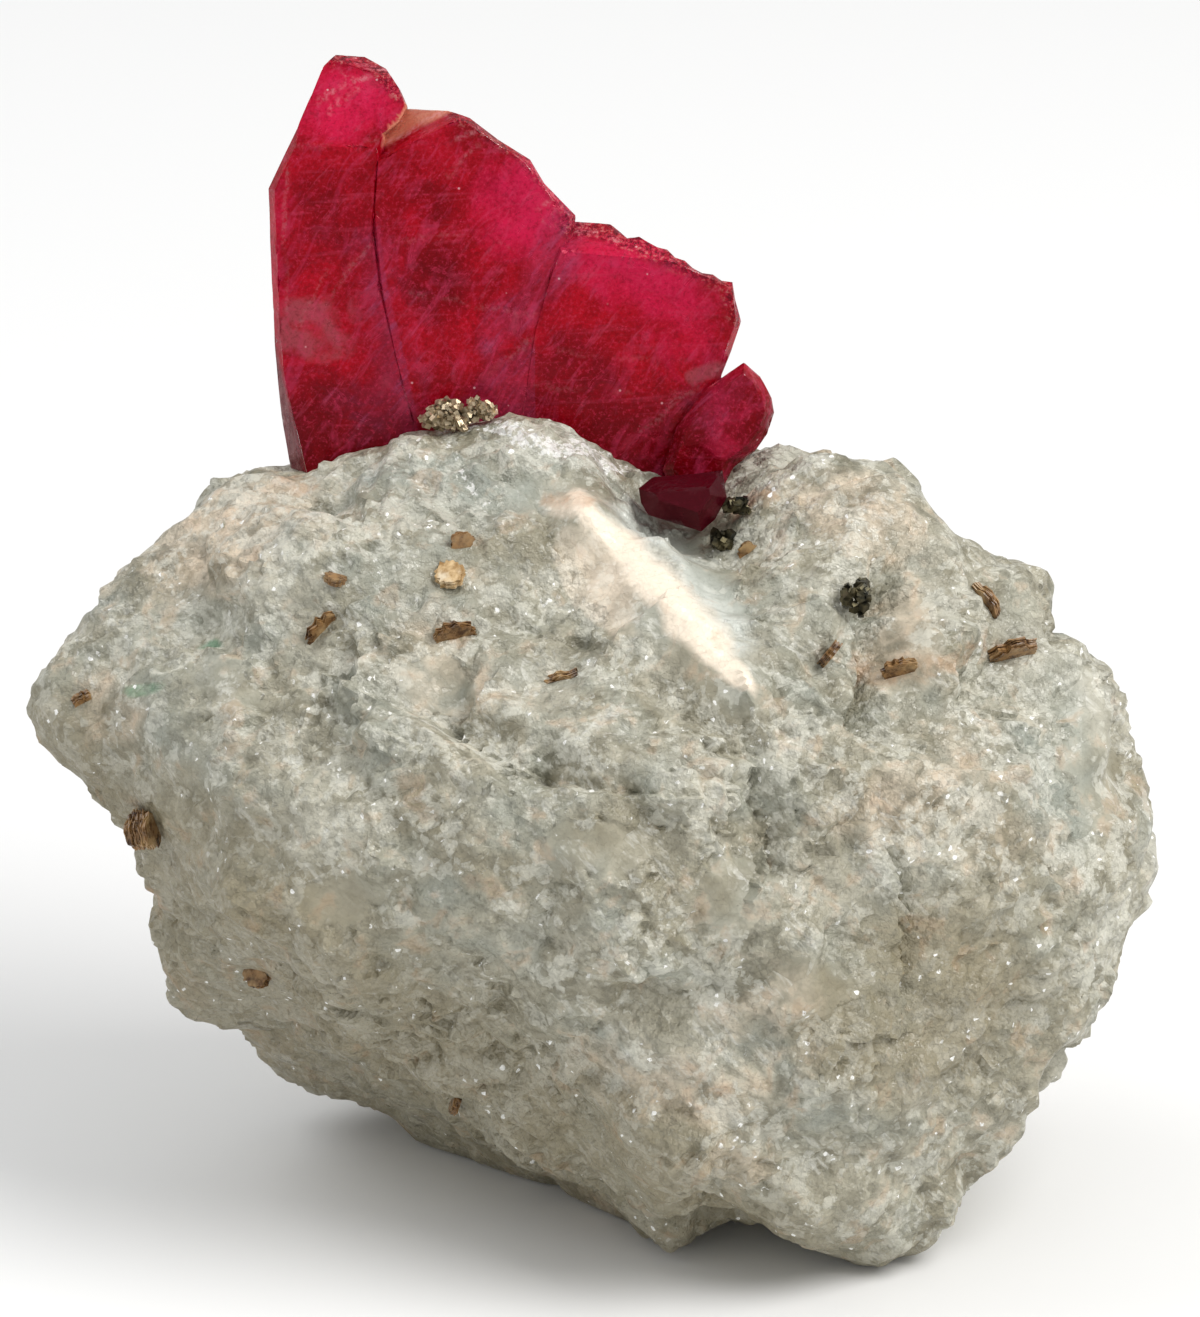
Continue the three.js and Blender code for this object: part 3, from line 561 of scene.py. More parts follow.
# Fine pale lines: growth lines, scratches and healed cracks, each with its strength.
RUBY_LINES = [
    (0.3, [(-13.9, 28.4), (-11, 28.55), (-8.8, 28.6)]),
    (0.9, [(-12, 30.2), (-10.9, 31), (-9.8, 31.5)]),
    (0.9, [(-10.5, 32), (-9.3, 31.7), (-8.7, 31.2)]),
    (0.6, [(-11.6, 29.8), (-10.2, 30.9)]),
    (0.8, [(-11.2, 31.8), (-10.3, 31.2)]),
    (0.35, [(-13.3, 27.4), (-13.3, 21.6)]),
    (0.3, [(-12.9, 20.9), (-11.4, 23.3)]),
    (0.3, [(-11.2, 22.3), (-9.6, 24.6)]),
    (0.9, [(-9, 28.7), (-7.6, 29.4), (-6.6, 29.8)]),
    (0.5, [(-7.1, 27.4), (-6.2, 28.6), (-5.3, 29.2)]),
    (0.4, [(-6.6, 27.2), (-5.2, 28.5)]),
    (0.2, [(-8.8, 24.5), (-6.4, 24.8), (-5, 24.7), (-4, 24.2)]),
    (0.2, [(-8.2, 22.2), (-5.4, 21.9), (-2.9, 21.4)]),
    (0.7, [(-3, 25.7), (-2, 26.6)]),
    (0.5, [(-2.8, 25.2), (-1.6, 26.2)]),
    (0.3, [(-5.9, 18.3), (-4.6, 19.3), (-2.9, 20.5)]),
    (0.9, [(-1.1, 24.9), (-0.3, 24.9), (0.6, 24.6)]),
    (0.15, [(-3, 20), (0.4, 19.7), (3.6, 19.5)]),
    (0.15, [(-2.9, 18.5), (1, 18.2), (4, 18.3)]),
    (0.8, [(3.7, 18.6), (4.4, 19), (5, 19.3)]),
    (0.4, [(1.4, 16.6), (2.6, 17.6), (4, 18.6)]),
    (0.5, [(5.9, 19.4), (6.6, 18.2), (7, 17)]),
]

# Cloudy, bright and deep spots: the strength, middle, half sizes and turn in degrees of each.
HAZE_SPOTS = [
    (0.55, (-9.6, 17.4), (2.6, 2), 0),
    (0.6, (-5.6, 17.2), (3, 1.2), 0),
    (0.45, (4.8, 18), (2.6, 1.8), 40),
]
GLOW_SPOTS = [
    (0.9, (-3.4, 26), (3, 2.8), 40),
    (0.8, (1.2, 23.2), (5, 2.2), -22),
    (0.4, (3.4, 20.4), (2.4, 2.6), 0),
    (0.3, (5.2, 17), (2.2, 2), 0),
    (0.4, (-13.6, 24), (0.8, 5), 0),
]
DEEP_SPOTS = [
    (0.9, (-11.4, 17), (2.4, 3.2), 0),
    (0.6, (-11.6, 25.6), (2.2, 2.8), 0),
    (0.7, (-7.4, 26.2), (1.6, 1.4), -20),
    (0.8, (-1, 18.4), (2.6, 3.6), 20),
    (0.6, (0.4, 15.6), (4, 2), 0),
]


def ruby_zones(places):
    """How far each place of the ruby has each of its tints, clouds, and crusts with painted highlights, from
    0 to 1.
    """
    x, y = places[:, 0], places[:, 1]
    strayed = places + 0.5 * stray(places, 1.2, 64)
    left_of_groove = np.where(route_distance(places, TALL_TO_MIDDLE) < 0, 1.0, 0.25)
    haze = 0.9 * stroke(strayed, TALL_TO_MIDDLE[2:], 1.7) * left_of_groove * smoothstep(26.4, 24.4, y)
    haze = np.maximum(haze, strongest(strayed, HAZE_SPOTS))
    haze = np.maximum(haze, 0.7 * stroke(strayed, [(-1.9, 25), (-3, 22.6), (-4.4, 20.6)], 1.4))
    under_step = smoothstep(-0.2, 0.3, -route_distance(places, [(-6.4, 17.8), (-2.6, 20.9)]))
    haze = np.maximum(haze, 0.8 * under_step * (x > -6.4) * (x < -2.9) * (y < 21))
    milk = patch(places + 1.8 * (strayed - places), (-12.2, 20.9), (2.3, 2), -35)
    milk *= smoothstep(-1.3, 0.4, noise(places, 1.1, 78) + 0.4 * noise(places, 0.4, 79))
    milk *= smoothstep(19.3, 19.6, y - 0.1 * (x + 12)) * (0.95 + 0.5 * noise(places, 0.5, 72))
    milk = np.maximum(milk, 0.9 * stroke(places, [(3.6, 18.9), (4.8, 19.2)], 0.45))
    glow = 0.8 * patch(strayed, (-10.8, 30.2), (3, 2.6)) * smoothstep(28.2, 28.6, y)
    glow = np.maximum(glow, strongest(strayed, GLOW_SPOTS))
    deep = 0.8 * patch(strayed, (-7, 22.8), (2.2, 2.4), -10) * smoothstep(24.8, 24.5, y)
    deep = np.maximum(deep, strongest(strayed, DEEP_SPOTS))
    deep = np.maximum(deep, smoothstep(20.5, 16, y))
    grey = smoothstep(0.1, -0.1, route_distance(places, [(-13.95, 21.2), (-13.2, 17.6), (-12.5, 14)]))
    grey *= smoothstep(21.6, 20.6, y) * (x < -12)
    # Pale flecks along the top edges: crust, partly painted highlight
    crust_and_highlight = stroke(places, [(-1.4, 25.3), (-0.2, 25.2), (5.3, 22.9), (5.7, 21.4)], 0.8)
    crust_and_highlight = np.maximum(crust_and_highlight, 0.8 * stroke(places, [(-6.2, 29.8), (-3.4, 28.1), (-1.4, 25.8)], 0.5))
    crust_and_highlight = np.maximum(crust_and_highlight, stroke(places, [(-11.6, 32.2), (-9.8, 32.2), (-8.5, 30.6)], 0.5))
    wavy = places + 0.16 * stray(places, 0.9, 67)
    lines = np.zeros(len(places))
    for strength, route in RUBY_LINES:
        lines = np.maximum(lines, strength * stroke(wavy, route, 0.13))
    lines *= smoothstep(-0.6, 0.3, noise(places, 0.8, 70))
    orange = stroke(places, [(-9.1, 28.95), (-8.1, 29.8), (-6.9, 29.95)], 0.8)
    orange *= smoothstep(-0.1, 0.1, route_distance(places, [(-9.1, 28.5), (-6.6, 29.75)]))
    orange *= route_distance(places, TALL_EDGE) < 0
    zones = {"haze": haze, "milk": milk, "glow": glow, "deep": deep, "grey": grey, "crust_and_highlight": crust_and_highlight}
    zones |= {"lines": lines, "orange": orange}
    in_front = smoothstep(-3.6, -2.6, places[:, 2])
    return {name: values * in_front for name, values in zones.items()}


# Books of mica
LEAF_THICKNESS = 0.06
LEAF_CORNERS = 30
LEAF_SHARE = 0.85  # of the space from one leaf to the next


def book_shape(node):
    """A packed mica book's middle, axis, radius, thickness and the way from its axis to a corner."""
    points = node_points(node)
    middle = (points.min(axis=0) + points.max(axis=0)) / 2
    spread, directions = np.linalg.eigh(np.cov((points - middle).T))
    axis = directions[:, np.argmin(spread)]
    along = (points - middle) @ axis
    flat = (points - middle) - along[:, None] * axis
    return middle, axis, np.linalg.norm(flat, axis=1).max(), np.ptp(along), flat[0]


def make_mica(node, seed):
    """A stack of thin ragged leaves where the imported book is."""
    rng = np.random.default_rng(seed)
    middle, axis, radius, thick, first = book_shape(node)
    side = first / np.linalg.norm(first)
    other = np.cross(axis, side)
    leaves = max(5, int(thick / LEAF_THICKNESS))
    ring = range(LEAF_CORNERS)
    outline = rng.uniform(0.72, 0.96, LEAF_CORNERS)
    points, faces = [], []
    for leaf in range(leaves):
        low = -thick / 2 + thick * leaf / leaves
        high = low + LEAF_SHARE * thick / leaves
        ragged = outline * rng.uniform(0.86, 1.02, LEAF_CORNERS) * rng.uniform(0.88, 1)
        start = len(points)
        for level in (low, high):
            for k, reach in enumerate(radius * np.minimum(ragged, 0.97)):
                angle = math.tau * k / LEAF_CORNERS
                flat = side * (reach * math.cos(angle)) + other * (reach * math.sin(angle))
                points.append(middle + flat + axis * level)
        top = start + LEAF_CORNERS
        faces.append([start + k for k in reversed(ring)])
        faces.append([top + k for k in ring])
        for k in ring:
            after = (k + 1) % LEAF_CORNERS
            faces.append([start + k, start + after, top + after, top + k])
    mica = new_piece(node + "_leaves", points, faces)
    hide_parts(node)
    return mica


# Grains of pyrite: how many cubes each has, and their least and most half widths.
SINGLE_GRAIN = (44, 0.07, 0.17)
CLUSTER = (420, 0.05, 0.13)
TRIES = 40  # places tried for each cube


def make_pyrite(node, cubes, seed):
    """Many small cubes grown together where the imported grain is."""
    count, least, most = cubes
    rng = np.random.default_rng(seed)
    tree = surface_tree([node])
    points = to_display(node_points(node))
    low, high = points.min(axis=0), points.max(axis=0)
    cube = np.array(list(itertools.product((-1, 1), repeat=3)), float)
    sides = [(0, 1, 3, 2), (4, 6, 7, 5), (0, 4, 5, 1), (2, 3, 7, 6), (0, 2, 6, 4), (1, 5, 7, 3)]
    corners, faces = [], []
    places = rng.uniform(low, high, (TRIES * count, 3))
    for place in places[noise(places, 0.5, seed) < 0.25]:
        near, normal, _, _ = tree.find_nearest(Vector(place))
        if (Vector(place) - near).dot(normal) > -0.03 or len(corners) >= 8 * count:
            continue
        half = rng.uniform(least, most)
        turn, _ = np.linalg.qr(rng.normal(size=(3, 3)))
        start = len(corners)
        corners += list((place + half * cube @ turn.T).clip(low - 0.02, high + 0.02))
        faces += [[start + k for k in side] for side in sides]
    grain = new_piece(node + "_cubes", to_row(np.array(corners)), faces)
    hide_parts(node)
    return grain


# Materials


class Look:
    """A material's nodes, added one by one."""

    def __init__(self, name):
        self.material = bpy.data.materials.new(name)
        self.material.use_nodes = True
        self.tree = self.material.node_tree
        self.shader = self.tree.nodes["Principled BSDF"]
        self.colour = None

    def add(self, kind, inputs=None, **settings):
        node = self.tree.nodes.new(kind)
        for key, value in settings.items():
            setattr(node, key, value)
        for key, value in (inputs or {}).items():
            self.put(node.inputs[key], value)
        return node

    def put(self, socket, value):
        if isinstance(value, bpy.types.NodeSocket):
            self.tree.links.new(value, socket)
        else:
            socket.default_value = value

    def mask(self, name):
        return self.add("ShaderNodeAttribute", attribute_name=name).outputs["Fac"]

    def place(self):
        return self.add("ShaderNodeTexCoord").outputs["Object"]

    def noise(self, size, detail=4.0, distortion=0.0, rough=0.55, turn=None, stretch=1.0):
        """Noise with lumps about size millimetres wide, drawn out stretch times along the turned x axis."""
        place = self.place()
        if turn:
            angles = tuple(math.radians(angle) for angle in turn)
            inputs = {"Vector": place, "Rotation": angles, "Scale": (stretch, 1, 1)}
            place = self.add("ShaderNodeMapping", inputs, vector_type="TEXTURE").outputs["Vector"]
        inputs = {"Vector": place, "Scale": 1 / (size * MM), "Detail": detail}
        inputs |= {"Distortion": distortion, "Roughness": rough}
        return self.add("ShaderNodeTexNoise", inputs).outputs["Fac"]

    def cells(self, size, distortion=0.0):
        """Random cells about size millimetres wide, with borders bent by up to distortion millimetres."""
        place = self.place()
        if distortion:
            inputs = {"Vector": place, "Scale": 1 / (1.5 * size * MM), "Detail": 0.0}
            bend = self.add("ShaderNodeTexNoise", inputs).outputs["Color"]
            place = self.vector_math("MULTIPLY_ADD", bend, (2 * distortion * MM,) * 3, place).outputs[0]
        return self.add("ShaderNodeTexVoronoi", {"Vector": place, "Scale": 1 / (size * MM)})

    def facets(self, size, distortion):
        """Broken facets: a random tone for each, from -0.5 to 0.5, and the height of its tilted plane."""
        cells = self.cells(size, distortion)
        place = cells.inputs["Vector"].links[0].from_socket
        offset = self.vector_math("SUBTRACT", place, cells.outputs["Position"])
        tilt = self.vector_math("SUBTRACT", cells.outputs["Color"], (0.5,) * 3)
        plane = self.vector_math("DOT_PRODUCT", offset.outputs[0], tilt.outputs[0])
        height = self.times(plane.outputs["Value"], 2 / (size * MM))
        return self.band(cells.outputs["Color"], 0.0, 1.0, -0.5, 0.5), height

    def math(self, operation, a, b):
        return self.add("ShaderNodeMath", {0: a, 1: b}, operation=operation).outputs[0]

    def plus(self, a, b):
        return self.math("ADD", a, b)

    def minus(self, a, b):
        return self.math("SUBTRACT", a, b)

    def times(self, a, b):
        return self.math("MULTIPLY", a, b)

    def blend(self, *parts):
        """The sum of some values, each times its weight."""
        total = self.times(*parts[0])
        for part in parts[1:]:
            total = self.plus(total, self.times(*part))
        return total

    def vector_math(self, operation, *values):
        return self.add("ShaderNodeVectorMath", dict(enumerate(values)), operation=operation)

    def band(self, value, low, high, to_low=0.0, to_high=1.0):
        inputs = {"Value": value, "From Min": low, "From Max": high, "To Min": to_low, "To Max": to_high}
        return self.add("ShaderNodeMapRange", inputs, clamp=True).outputs["Result"]

    def mix(self, share, a, b):
        node = self.add("ShaderNodeMix", data_type="RGBA")
        self.put(node.inputs[0], share)
        for socket, value in ((node.inputs[6], a), (node.inputs[7], b)):
            self.put(socket, value if isinstance(value, bpy.types.NodeSocket) else (*value, 1))
        return node.outputs[2]

    def paint(self, share, tint):
        """Lays a tint over the colour so far."""
        self.colour = self.mix(share, self.colour, tint)

    def bump(self, height, distance, strength):
        inputs = {"Height": height, "Distance": distance * MM, "Strength": strength}
        return self.add("ShaderNodeBump", inputs).outputs["Normal"]

    def set(self, **values):
        for key, value in values.items():
            self.put(self.shader.inputs[key.replace("_", " ")], value)


# Tints in linear red, green and blue
MARBLE = {
    "dull": (0.225, 0.21, 0.15),
    "bright": (0.50, 0.478, 0.378),
    "pale": (0.53, 0.52, 0.44),
    "cloud": (0.27, 0.243, 0.165),
    "blue": (0.32, 0.345, 0.30),
    "dull_beige": (0.38, 0.29, 0.195),
    "bright_beige": (0.72, 0.60, 0.455),
    "chalk": (0.68, 0.675, 0.59),
    "stripe": (0.74, 0.74, 0.68),
    "shade": (0.15, 0.14, 0.095),
    # Olive tint, also painted shade on the lower sides
    "olive_and_low_shade": (0.235, 0.195, 0.11),
    "ice": (0.62, 0.645, 0.595),
    "sugar": (0.86, 0.86, 0.84),
    "cream": (0.92, 0.80, 0.65),
    "rust": (0.36, 0.17, 0.055),
    "green": (0.09, 0.24, 0.13),
    # Painted glint
    "painted_glint": (0.95, 0.95, 0.92),
}
RUBY = {
    "dull": (0.33, 0.001, 0.007),
    "bright": (0.50, 0.003, 0.016),
    "deep": (0.12, 0.001, 0.003),
    "glow": (0.78, 0.014, 0.09),
    "haze": (0.34, 0.055, 0.15),
    "milk": (0.42, 0.075, 0.10),
    "fibre": (0.70, 0.10, 0.20),
    "step": (0.62, 0.06, 0.13),
    "dark_grit": (0.12, 0.001, 0.004),
    "bright_grit": (0.80, 0.05, 0.13),
    "veil": (0.74, 0.06, 0.17),
    "grey": (0.12, 0.03, 0.035),
    "grey_fibre": (0.30, 0.13, 0.13),
    "orange": (0.80, 0.30, 0.19),
    # Crust flecks, partly painted highlight
    "crust_and_highlight": (0.72, 0.28, 0.26),
    "crust_gap": (0.07, 0.004, 0.010),
    "line": (0.85, 0.36, 0.42),
    "speck": (0.90, 0.50, 0.55),
    "dark": (0.045, 0.002, 0.006),
}
BROWN_MICA = ((0.06, 0.025, 0.008), (0.30, 0.165, 0.062), (0.46, 0.31, 0.15))
GOLDEN_MICA = ((0.30, 0.17, 0.06), (0.66, 0.48, 0.26), (0.85, 0.76, 0.58))
DARK_PYRITE = ((0.02, 0.02, 0.015), (0.14, 0.12, 0.065))
BRASSY_PYRITE = ((0.24, 0.19, 0.12), (0.62, 0.51, 0.36))
FLOOR_TINTS = ((0.85, 0.855, 0.86), (0.88, 0.885, 0.89))
RUBY_ABSORPTION = 1500.0  # per metre of crystal


def marble_look():
    """Marble: broken facets in grey-green, tinted, stained and crusted where its masks say, with painted
    shade on its lower sides and painted glints.
    """
    look = Look("marble")
    crumble = look.noise(1.3, detail=3.0, distortion=0.4, rough=0.56)
    big_tone, big_tilt = look.facets(1.2, 0.35)
    mid_tone, mid_tilt = look.facets(0.55, 0.16)
    small_tone, small_tilt = look.facets(0.26, 0.07)
    busy = look.band(look.mask("calm"), 0.1, 0.9, 1.0, 0.3)
    fine_tones = ((look.times(mid_tone, 0.1), busy), (look.times(small_tone, 0.06), busy))
    broad_tones = ((look.mask("grain_tone"), 0.05), (look.mask("face_tone"), 0.04), (big_tone, 0.09))
    tone = look.blend(*broad_tones, *fine_tones)
    tone = look.plus(tone, crumble)
    look.colour = look.mix(look.band(tone, 0.34, 0.66), MARBLE["dull"], MARBLE["bright"])
    pale = look.plus(look.noise(4.2, detail=2.0), look.times(big_tone, 0.07))
    look.paint(look.band(pale, 0.5, 0.6, 0.0, 0.5), MARBLE["pale"])
    cloud = look.noise(5.0, detail=1.0)
    look.paint(look.band(cloud, 0.42, 0.68, 0.0, 0.65), MARBLE["cloud"])
    blue = look.noise(3.4, detail=2.0)
    blue = look.plus(look.times(look.mask("blue"), 0.3), blue)
    look.paint(look.band(blue, 0.48, 0.78, 0.0, 0.85), MARBLE["blue"])

    def zone(name, spread, low=0.1, high=1.0):
        ragged = look.times(look.minus(crumble, 0.5), spread)
        return look.band(look.plus(look.mask(name), ragged), low, high)

    # Stains, chalk, fibres, dark gaps, and olive tint with painted shade on the lower sides
    beige = look.mix(look.band(tone, 0.38, 0.62), MARBLE["dull_beige"], MARBLE["bright_beige"])
    look.paint(look.times(zone("beige", 1.8), 0.85), beige)
    chalk = look.noise(1.0, detail=4.0, rough=0.66)
    chalk = look.plus(chalk, look.times(mid_tone, 0.2))
    chalk = look.plus(chalk, look.times(small_tone, 0.16))
    patches = look.times(look.noise(2.8, detail=2.0, rough=0.62), 0.95)
    patches = look.plus(patches, look.times(look.mask("crumbly"), 0.08))
    patches = look.minus(patches, look.times(look.mask("calm"), 0.12))
    chalk = look.plus(chalk, patches)
    look.paint(look.band(chalk, 1.02, 1.12, 0.0, 0.5), MARBLE["chalk"])
    fibres = look.noise(0.25, detail=2.0, rough=0.6, turn=(0, 50, 0), stretch=6.0)
    striped = look.times(look.band(big_tone, 0.2, 0.24), look.band(fibres, 0.5, 0.7, 0.0, 0.5))
    look.paint(striped, MARBLE["stripe"])
    shade = look.noise(0.5, detail=3.0, rough=0.66, turn=(20, 35, 10), stretch=2.5)
    shade = look.plus(shade, look.times(small_tone, 0.1))
    look.paint(look.times(look.band(shade, 0.36, 0.46, 0.4, 0.0), busy), MARBLE["shade"])
    # Olive tint and painted shade on the lower sides
    look.paint(look.times(zone("olive_and_low_shade", 0.6), 0.68), MARBLE["olive_and_low_shade"])

    # The ridge, the rubies' foot, rust, green specks and painted glints
    veins = look.noise(0.5, detail=2.0, rough=0.66, turn=(0, 40, 0), stretch=5.0)
    ice = look.times(zone("ice", 0.7), look.band(veins, 0.35, 0.6, 0.45, 0.95))
    look.paint(ice, MARBLE["ice"])
    sugar = look.plus(look.times(look.mask("sugar"), 0.6), look.noise(0.35, detail=2.0, rough=0.7))
    look.paint(look.band(sugar, 1.02, 1.12, 0.0, 0.75), MARBLE["sugar"])
    cream = look.times(zone("cream", 0.35, 0.1, 0.8), look.band(veins, 0.3, 0.6, 0.8, 1.0))
    look.paint(cream, MARBLE["cream"])
    look.paint(look.times(zone("rust", 2.2, 0.2, 1.0), 0.8), MARBLE["rust"])
    look.paint(look.times(zone("green", 2.6, 0.5, 1.2), 0.8), MARBLE["green"])
    # Painted glints: tiny bright flecks on the chalky facets
    painted_glint = look.band(look.cells(0.16, distortion=0.05).outputs["Color"], 0.905, 0.925)
    painted_glint = look.times(painted_glint, look.band(chalk, 0.98, 1.06))
    look.paint(painted_glint, MARBLE["painted_glint"])

    # Relief
    grit = look.noise(0.3, detail=2.0, rough=0.65)
    height = look.blend((big_tilt, 0.8), (mid_tilt, 0.6), (small_tilt, 0.35), (mid_tone, 0.4), (grit, 0.7))
    height = look.times(height, busy)
    look.set(
        Base_Color=look.colour,
        Roughness=look.band(small_tone, -0.2, 0.45, 0.6, 0.22),
        IOR=1.6,
        Normal=look.bump(height, 0.22, 1.0),
    )
    return look.material


def ruby_look(name, dark):
    """Ruby: deep pinkish red, milky in places, with crust and painted highlights on its top edges. dark is
    how much deeper than the main crystals it looks.
    """
    look = Look(name)
    wisps = look.noise(1.6, detail=4.0, distortion=1.0, rough=0.62)
    smoke = look.noise(2.4, detail=4.0, distortion=1.4, rough=0.6)
    grit = look.noise(0.16, detail=2.0, rough=0.7)
    fibres = look.noise(0.35, detail=3.0, rough=0.68, turn=(0, -52, 0), stretch=7.0)
    steps = look.noise(0.3, detail=2.0, rough=0.6, turn=(0, -3, 0), stretch=16.0)
    look.colour = look.mix(look.band(smoke, 0.4, 0.6), RUBY["dull"], RUBY["bright"])

    def zone(mask, spread, low, high, strength):
        ragged = look.times(look.minus(wisps, 0.5), spread)
        ragged = look.plus(look.mask(mask), ragged)
        return look.times(look.band(ragged, low, high), strength)

    look.paint(zone("deep", 1.3, 0.1, 0.9, 0.8), RUBY["deep"])
    look.paint(zone("glow", 1.6, 0.1, 1.0, 0.9), RUBY["glow"])
    pale = look.plus(look.band(fibres, 0.5, 0.72, 0.0, 0.9), 0.35)
    look.paint(look.times(zone("haze", 1.3, 0.1, 1.1, 0.85), pale), RUBY["haze"])
    look.paint(zone("milk", 1.4, 0.15, 0.75, 0.85), RUBY["milk"])
    look.paint(look.band(fibres, 0.58, 0.78, 0.0, 0.4), RUBY["fibre"])
    look.paint(look.band(steps, 0.6, 0.75, 0.0, 0.25), RUBY["step"])
    look.paint(look.band(grit, 0.34, 0.48, 0.35, 0.0), RUBY["dark_grit"])
    look.paint(look.band(grit, 0.54, 0.7, 0.0, 0.35), RUBY["bright_grit"])
    veils = look.noise(0.9, detail=4.0, distortion=1.6, rough=0.66, turn=(0, -62, 0), stretch=3.5)
    look.paint(look.band(veils, 0.53, 0.7, 0.0, 0.35), RUBY["veil"])
    striped = look.times(look.band(fibres, 0.42, 0.6), look.mask("grey"))
    look.paint(look.times(look.mask("grey"), 0.8), RUBY["grey"])
    look.paint(look.times(striped, 0.7), RUBY["grey_fibre"])
    crumbs = look.noise(0.22, detail=3.0, rough=0.7)
    orange = look.times(look.mask("orange"), look.band(crumbs, 0.3, 0.6, 0.6, 1.0))
    look.paint(orange, RUBY["orange"])
    # Pale flecks of crust, partly painted highlight, with dark gaps between them
    crust_and_highlight = look.times(look.mask("crust_and_highlight"), look.band(crumbs, 0.54, 0.64))
    look.paint(look.times(crust_and_highlight, 0.6), RUBY["crust_and_highlight"])
    crust_and_highlight = look.times(look.mask("crust_and_highlight"), look.band(crumbs, 0.52, 0.4))
    look.paint(look.times(crust_and_highlight, 0.8), RUBY["crust_gap"])
    lines = look.times(look.mask("lines"), look.band(crumbs, 0.42, 0.6))
    look.paint(look.times(lines, 0.6), RUBY["line"])
    specks = look.cells(0.9)
    speck = look.band(specks.outputs["Distance"], 0.03, 0.07, 1.0, 0.0)
    speck = look.times(speck, look.band(specks.outputs["Color"], 0.55, 0.6))
    look.paint(look.times(speck, 0.8), RUBY["speck"])
    look.paint(dark, RUBY["dark"])
    crust_height = (look.mask("crust_and_highlight"), look.times(crumbs, 3.0))
    height = look.blend((fibres, 0.5), (wisps, 1.5), (steps, 0.5), crust_height)
    look.set(
        Base_Color=look.colour,
        Roughness=look.band(wisps, 0.35, 0.7, 0.12, 0.32),
        IOR=1.77,
        Specular_IOR_Level=0.07,
        Specular_Tint=(1.0, 0.25, 0.3, 1),
        Transmission_Weight=0.35,
        Normal=look.bump(height, 0.045, 0.7),
    )
    inputs = {"Color": (0.95, 0.02, 0.06, 1), "Density": RUBY_ABSORPTION}
    absorb = look.add("ShaderNodeVolumeAbsorption", inputs)
    output = look.tree.nodes["Material Output"]
    look.tree.links.new(absorb.outputs[0], output.inputs["Volume"])
    return look.material


def mica_look(name, shades):
    """Glossy mica, streaked from the first shade to the second and flecked with the third."""
    look = Look(name)
    streaks = look.noise(0.5, detail=5.0, rough=0.65)
    look.colour = look.mix(look.band(streaks, 0.38, 0.62), shades[0], shades[1])
    look.paint(look.band(look.noise(0.9, detail=3.0), 0.52, 0.68, 0.0, 0.7), shades[2])
    look.set(
        Base_Color=look.colour,
        Roughness=look.band(streaks, 0.3, 0.7, 0.16, 0.42),
        IOR=1.6,
        Specular_IOR_Level=0.35,
        Normal=look.bump(look.noise(0.2, detail=4.0), 0.02, 0.6),
    )
    return look.material


def pyrite_look(name, shades):
    """Tarnished metal between two shades."""
    look = Look(name)
    tarnish = look.noise(0.6, detail=4.0)
    look.set(
        Base_Color=look.mix(look.band(tarnish, 0.35, 0.65), *shades),
        Metallic=0.85,
        Roughness=look.band(tarnish, 0.3, 0.7, 0.25, 0.5),
        Normal=look.bump(look.noise(0.15, detail=3.0), 0.015, 0.6),
    )
    return look.material


def floor_look():
    look = Look("pale_floor")
    cloud = look.band(look.noise(150.0, detail=1.0), 0.3, 0.7)
    look.set(
        Base_Color=look.mix(cloud, *FLOOR_TINTS),
        Roughness=0.75,
        Specular_IOR_Level=0.2,
    )
    return look.material


# Camera, floor and lights
VIEW_MIDDLE = (-0.2, 7.15, 0)  # what the middle of the picture shows, in the display frame
VIEW_HEIGHT = 54.9  # millimetres from the picture's top to its bottom
VIEW_DISTANCE = 620.0
SENSOR = 36.0
FLOOR_REACH = 3000
FLOOR_DROP = 0.01  # keeps the floor out of the plane of the underside
WORLD_STRENGTH = 0.63
LIGHTS_AIM = (0, 0, 18)


def aim(thing, place, target):
    thing.location = Vector(place) * MM
    thing.rotation_euler = (Vector(target) - Vector(place)).to_track_quat("-Z", "Y").to_euler()


def make_camera():
    camera = bpy.data.objects.new("camera", bpy.data.cameras.new("camera"))
    camera.data.sensor_width = SENSOR
    camera.data.lens = SENSOR * VIEW_DISTANCE / VIEW_HEIGHT
    camera.data.clip_end = 20.0
    target = to_row([VIEW_MIDDLE])[0]
    towards = to_row([(0, 0, 1)])[0] - to_row([(0, 0, 0)])[0]
    aim(camera, target + towards * VIEW_DISTANCE, target)
    bpy.context.scene.collection.objects.link(camera)
    bpy.context.scene.camera = camera


def make_light(name, place, size, power, colour):
    light = bpy.data.lights.new(name, "AREA")
    light.shape = "DISK"
    light.size = size * MM
    light.energy = power
    light.color = colour
    lamp = bpy.data.objects.new(name, light)
    aim(lamp, place, LIGHTS_AIM)
    bpy.context.scene.collection.objects.link(lamp)


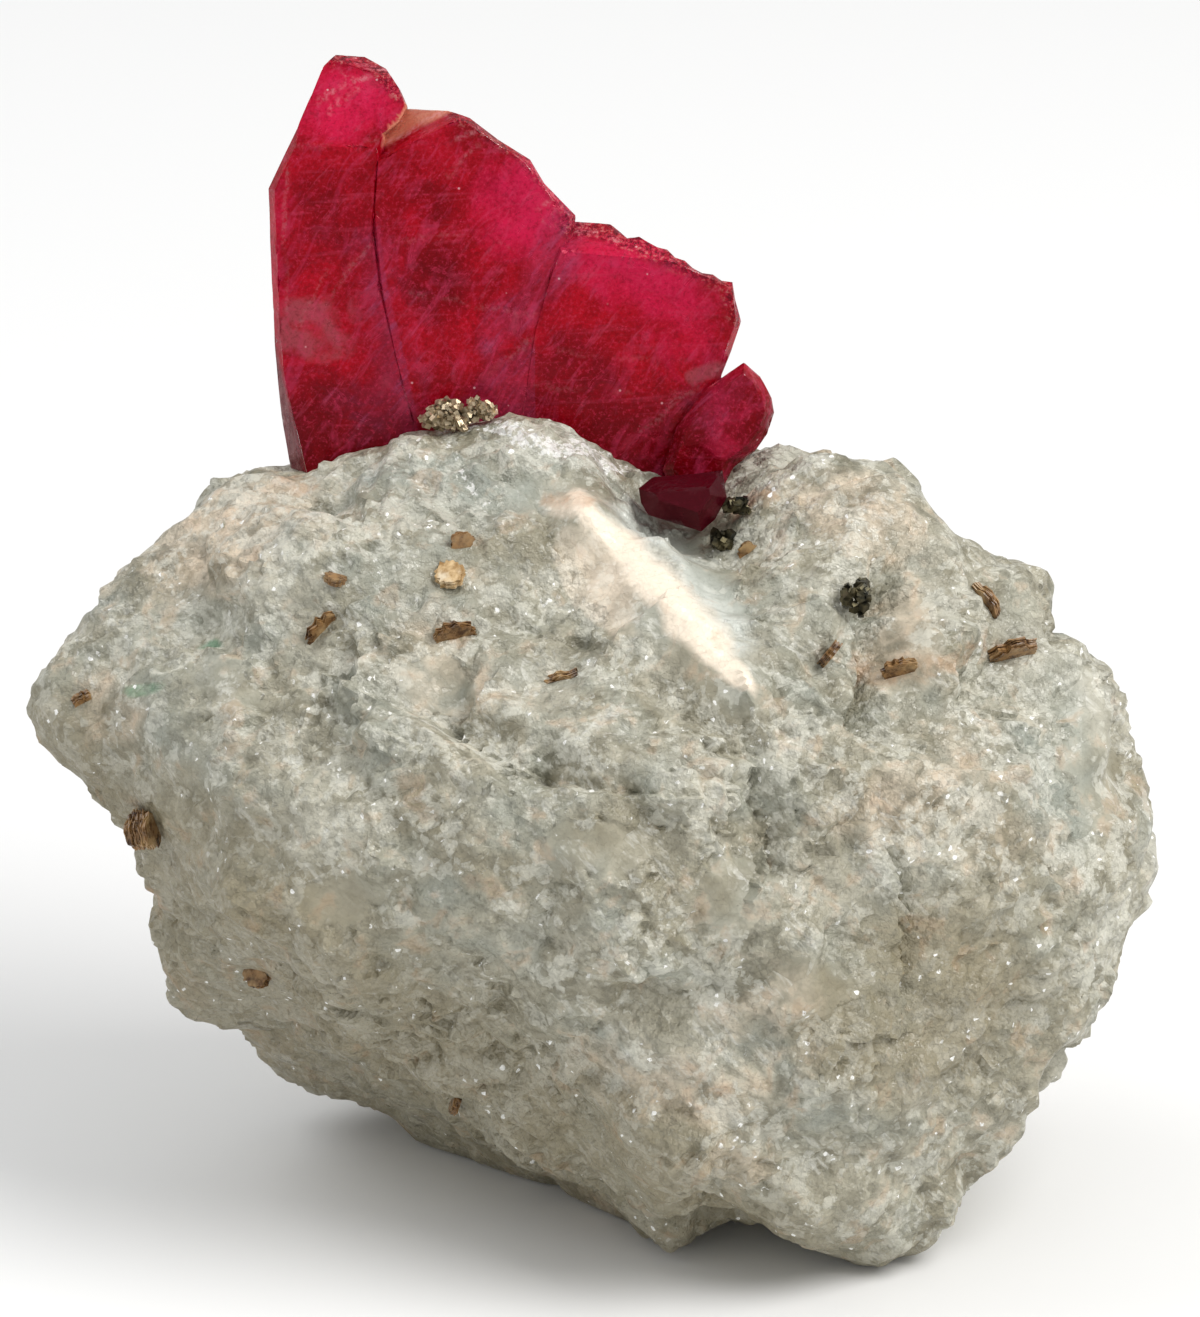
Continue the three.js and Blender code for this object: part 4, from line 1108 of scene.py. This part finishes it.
def make_stage():
    corners = [(x * FLOOR_REACH, y * FLOOR_REACH, 0) for x, y in ((-1, -1), (1, -1), (1, 1), (-1, 1))]
    floor = new_piece("floor", corners, [(0, 1, 2, 3)])
    floor.data.materials.append(floor_look())
    floor.location.z = -FLOOR_DROP * MM
    world = bpy.data.worlds.new("studio")
    world.use_nodes = True
    background = world.node_tree.nodes["Background"]
    background.inputs["Color"].default_value = (1.0, 1.0, 0.99, 1)
    background.inputs["Strength"].default_value = WORLD_STRENGTH
    bpy.context.scene.world = world
    make_light("key", (200, -100, 280), 240, 0.95, (1.0, 0.98, 0.955))
    make_light("left_fill", (-240, 60, 260), 240, 0.35, (0.97, 0.98, 1.0))
    bpy.context.scene.view_settings.view_transform = "Standard"


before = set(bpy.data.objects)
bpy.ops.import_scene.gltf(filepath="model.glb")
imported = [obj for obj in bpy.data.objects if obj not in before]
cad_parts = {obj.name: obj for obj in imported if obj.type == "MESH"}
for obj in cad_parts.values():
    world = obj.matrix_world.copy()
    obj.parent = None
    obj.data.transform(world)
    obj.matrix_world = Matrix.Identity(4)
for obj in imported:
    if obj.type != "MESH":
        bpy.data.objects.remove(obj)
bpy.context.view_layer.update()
make_camera()
make_stage()

pieces = [(make_marble(), marble_look())]
pieces.append((make_ruby("ruby_crystals", "ruby_group"), ruby_look("ruby", 0.0)))
pieces.append((make_ruby("small_ruby_crystal", "small_ruby"), ruby_look("dark_ruby", 0.92)))
brown_mica = mica_look("brown_mica", BROWN_MICA)
golden_mica = mica_look("golden_mica", GOLDEN_MICA)
for number, node in enumerate(name for name in sorted(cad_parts) if name.startswith("mica")):
    pieces.append((make_mica(node, number), golden_mica if node == "mica_disc" else brown_mica))
dark_pyrite = pyrite_look("dark_pyrite", DARK_PYRITE)
brassy_pyrite = pyrite_look("brassy_pyrite", BRASSY_PYRITE)
for number, node in enumerate(name for name in sorted(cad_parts) if name.startswith("pyrite")):
    brassy = node == "pyrite_cluster"
    grain = make_pyrite(node, CLUSTER if brassy else SINGLE_GRAIN, 80 + number)
    pieces.append((grain, brassy_pyrite if brassy else dark_pyrite))

for piece, material in pieces:
    piece.data.materials.append(material)
    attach(piece, "root")
